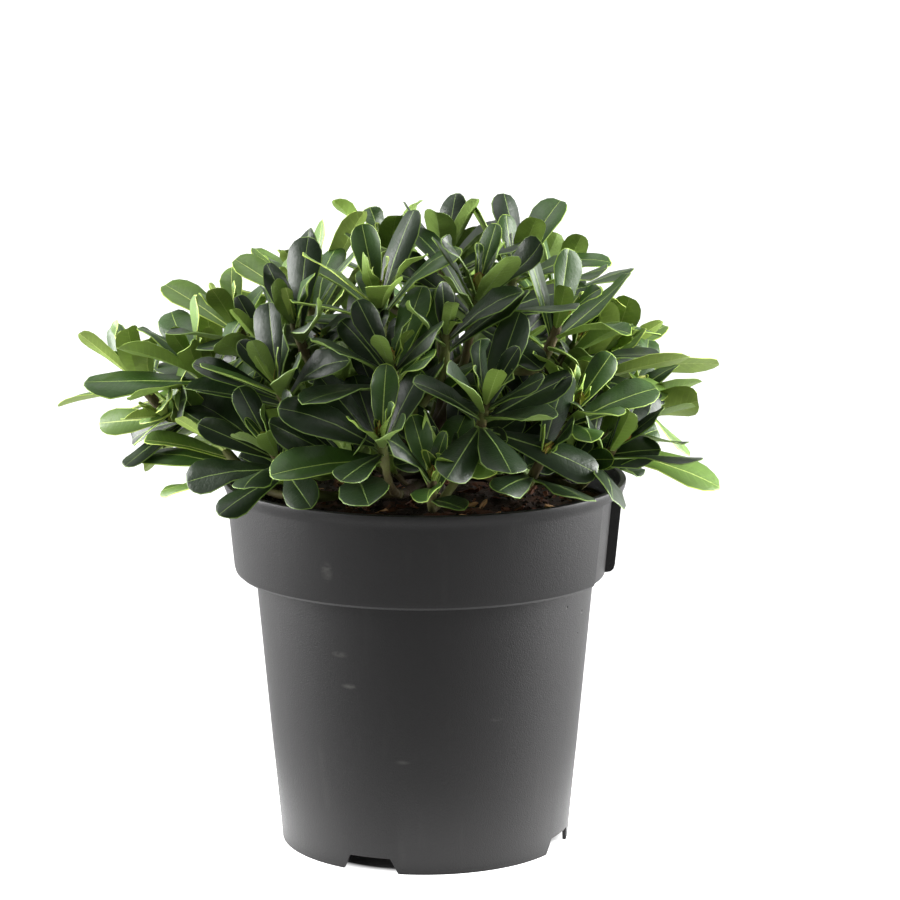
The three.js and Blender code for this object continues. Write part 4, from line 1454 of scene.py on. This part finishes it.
def leafSurface(name, colour, roughness):
    material, start, shader = principled(name, {"Specular IOR Level": 0.28})
    mottle, fine = noiseOn(start, 90, 3), noiseOn(start, 900, 2)
    v = start.node("ShaderNodeAttribute", {"attribute_name": "reach"}, output="Fac")
    aside = start.node("ShaderNodeAttribute", {"attribute_name": "halfShare"}, output="Fac").to("ABSOLUTE")
    wave = (v - aside * 0.1 + fine * 0.012) * 90.0
    veins = wave.to("SINE").ramped(0.55, 1.0) * (1.0 - aside)
    darker = tone([channel * 0.8 for channel in colour])
    paler = tone([min(255, channel * 1.14 + 3) for channel in colour])
    relief = fine * 0.5 + mottle * 2 - veins * 0.15
    return surface(material, shader, (mottle * 0.8 + veins * 0.2).mixed(darker, paler),
                   mottle * 0.16 + fine * 0.06 + roughness - 0.11, relief.bumped(0.0002))


def tipRoom(item):  # 0 where a leaf's tip is so low that it may not curl down over the rim, 1 where it is free
    tip = bladePoint(item, item, 1, 0, 0)
    return min(1.0, max(0.0, (tip.z - habit["curlFrom"]) / habit["curlOver"]))


def tipCurl(curled, random):
    if not curled:
        return jittered(random, habit["calmCurl"])
    return between(random, habit["tipCurl"]) * (1 if random() < habit["curledDown"] else habit["curledUp"])


def leafTraits(item, random):  # the attributes of one leaf
    def around(label):
        middle, size = habit[label]
        return middle + jittered(random, size)

    curled = random() < habit["curled"] and not item.get("calm")
    halfWidth = item["length"] * mm * item.get("slimness", leaf["width"] / 2)
    return {
        "root": tuple(item["root"] * mm),
        "along": tuple(item["along"]),
        "face": tuple(item["face"]),
        "across": tuple(item["across"]),
        "length": item["length"] * mm,
        "halfWidth": halfWidth * (1 + jittered(random, habit["widthJitter"])),
        "bend": math.radians(item["bend"] if abs(item["bend"]) > habit["leastBend"] else habit["leastBend"]),
        "fold": around("fold"),
        "camber": around("camber"),
        "wave": between(random, habit["wave"]) * mm * habit["curledWave" if curled else "calmWave"],
        "waveCount": between(random, habit["waveCount"]),
        "phase": random() * fullTurn,
        "twist": jittered(random, habit["curledTwist" if curled else "calmTwist"]),
        "tipCurl": tipCurl(curled, random) * tipRoom(item),
        "wedge": around("wedge"),
    }


def leafPiece(name, blades, random, materials, sizes):
    traits = [leafTraits(item, random) for item in blades]
    rows = {label: [trait[label] for trait in traits] for label in traits[0]}
    source = pointsMesh(name + "Roots", rows["root"], [], rows)
    piece = grown(name, source, leafTree(name + "Tree", materials, sizes), sizes)
    discard(source)
    finishPiece(piece, "leaves", *foliageNodes)
    print(name, len(blades), "leaves")


def sortedLeaves(random):  # the leaves of each tint
    groups = {name: [] for name in tints}
    names = list(tints)
    for shoot in allShoots():
        # painted backlight: sprays towards the left, the right and the back draw paler tints, standing in for light
        # shining through their leaves
        aside = shoot["tip"].x - shades["middle"]
        outer = min(1.0, abs(aside) / shades["edge"]) ** 2
        draw = random() * shades["draw"] + shades["left" if aside < 0 else "right"] * outer
        draw += shades["back"] * (shoot["tip"].y > shades["backFrom"])
        kind = 0 if draw < shades["dark"] else 1 if draw < shades["green"] else 2
        for item in shoot["blades"]:
            step = (item["inward"] > 1) + (random() < shades["lighter"]) - (random() < shades["darker"])
            groups[names[max(0, min(2, kind + step))]].append(item)
    for name, item in growLoose():
        groups[name].append(item)
    return groups


def makeLeaves():
    random = seededRandom(habit["seed"])
    pattern, scalePattern = leafPattern(shape["rows"]), leafPattern(shape["scaleRows"])
    sizes = {"Pattern": pattern, "Rim": shape["rim"] * mm, "Rib": shape["rib"] * mm, "Stalk": shape["stalk"] * mm,
             "Thickness": shape["thickness"] * mm, "Groove": shape["groove"] * mm, "Rib depth": shape["ribDepth"] * mm,
             "Taper": shape["taper"], "Blunt": shape["blunt"]}
    for name, blades in sortedLeaves(random).items():
        upper, under, rim, rib, roughness = tints[name]
        parts = (("Upper", upper, 0), ("Rim", rim, 0.08), ("Rib", rib, 0.08), ("Under", under, 0.16))
        materials = [leafSurface(name + part, colour, roughness + rougher) for part, colour, rougher in parts]
        leafPiece(name, blades, random, materials, sizes)
    scales = [item for shoot in allShoots() for item in shoot["scales"]]
    green, brown = leafSurface("budScale", (146, 152, 66), 0.5), leafSurface("budEdge", (150, 108, 54), 0.55)
    leafPiece("budScales", scales, random, [green, brown, green, green], {**sizes, "Pattern": scalePattern})
    discard(pattern, scalePattern)


makeLeaves()
print("leaves made")
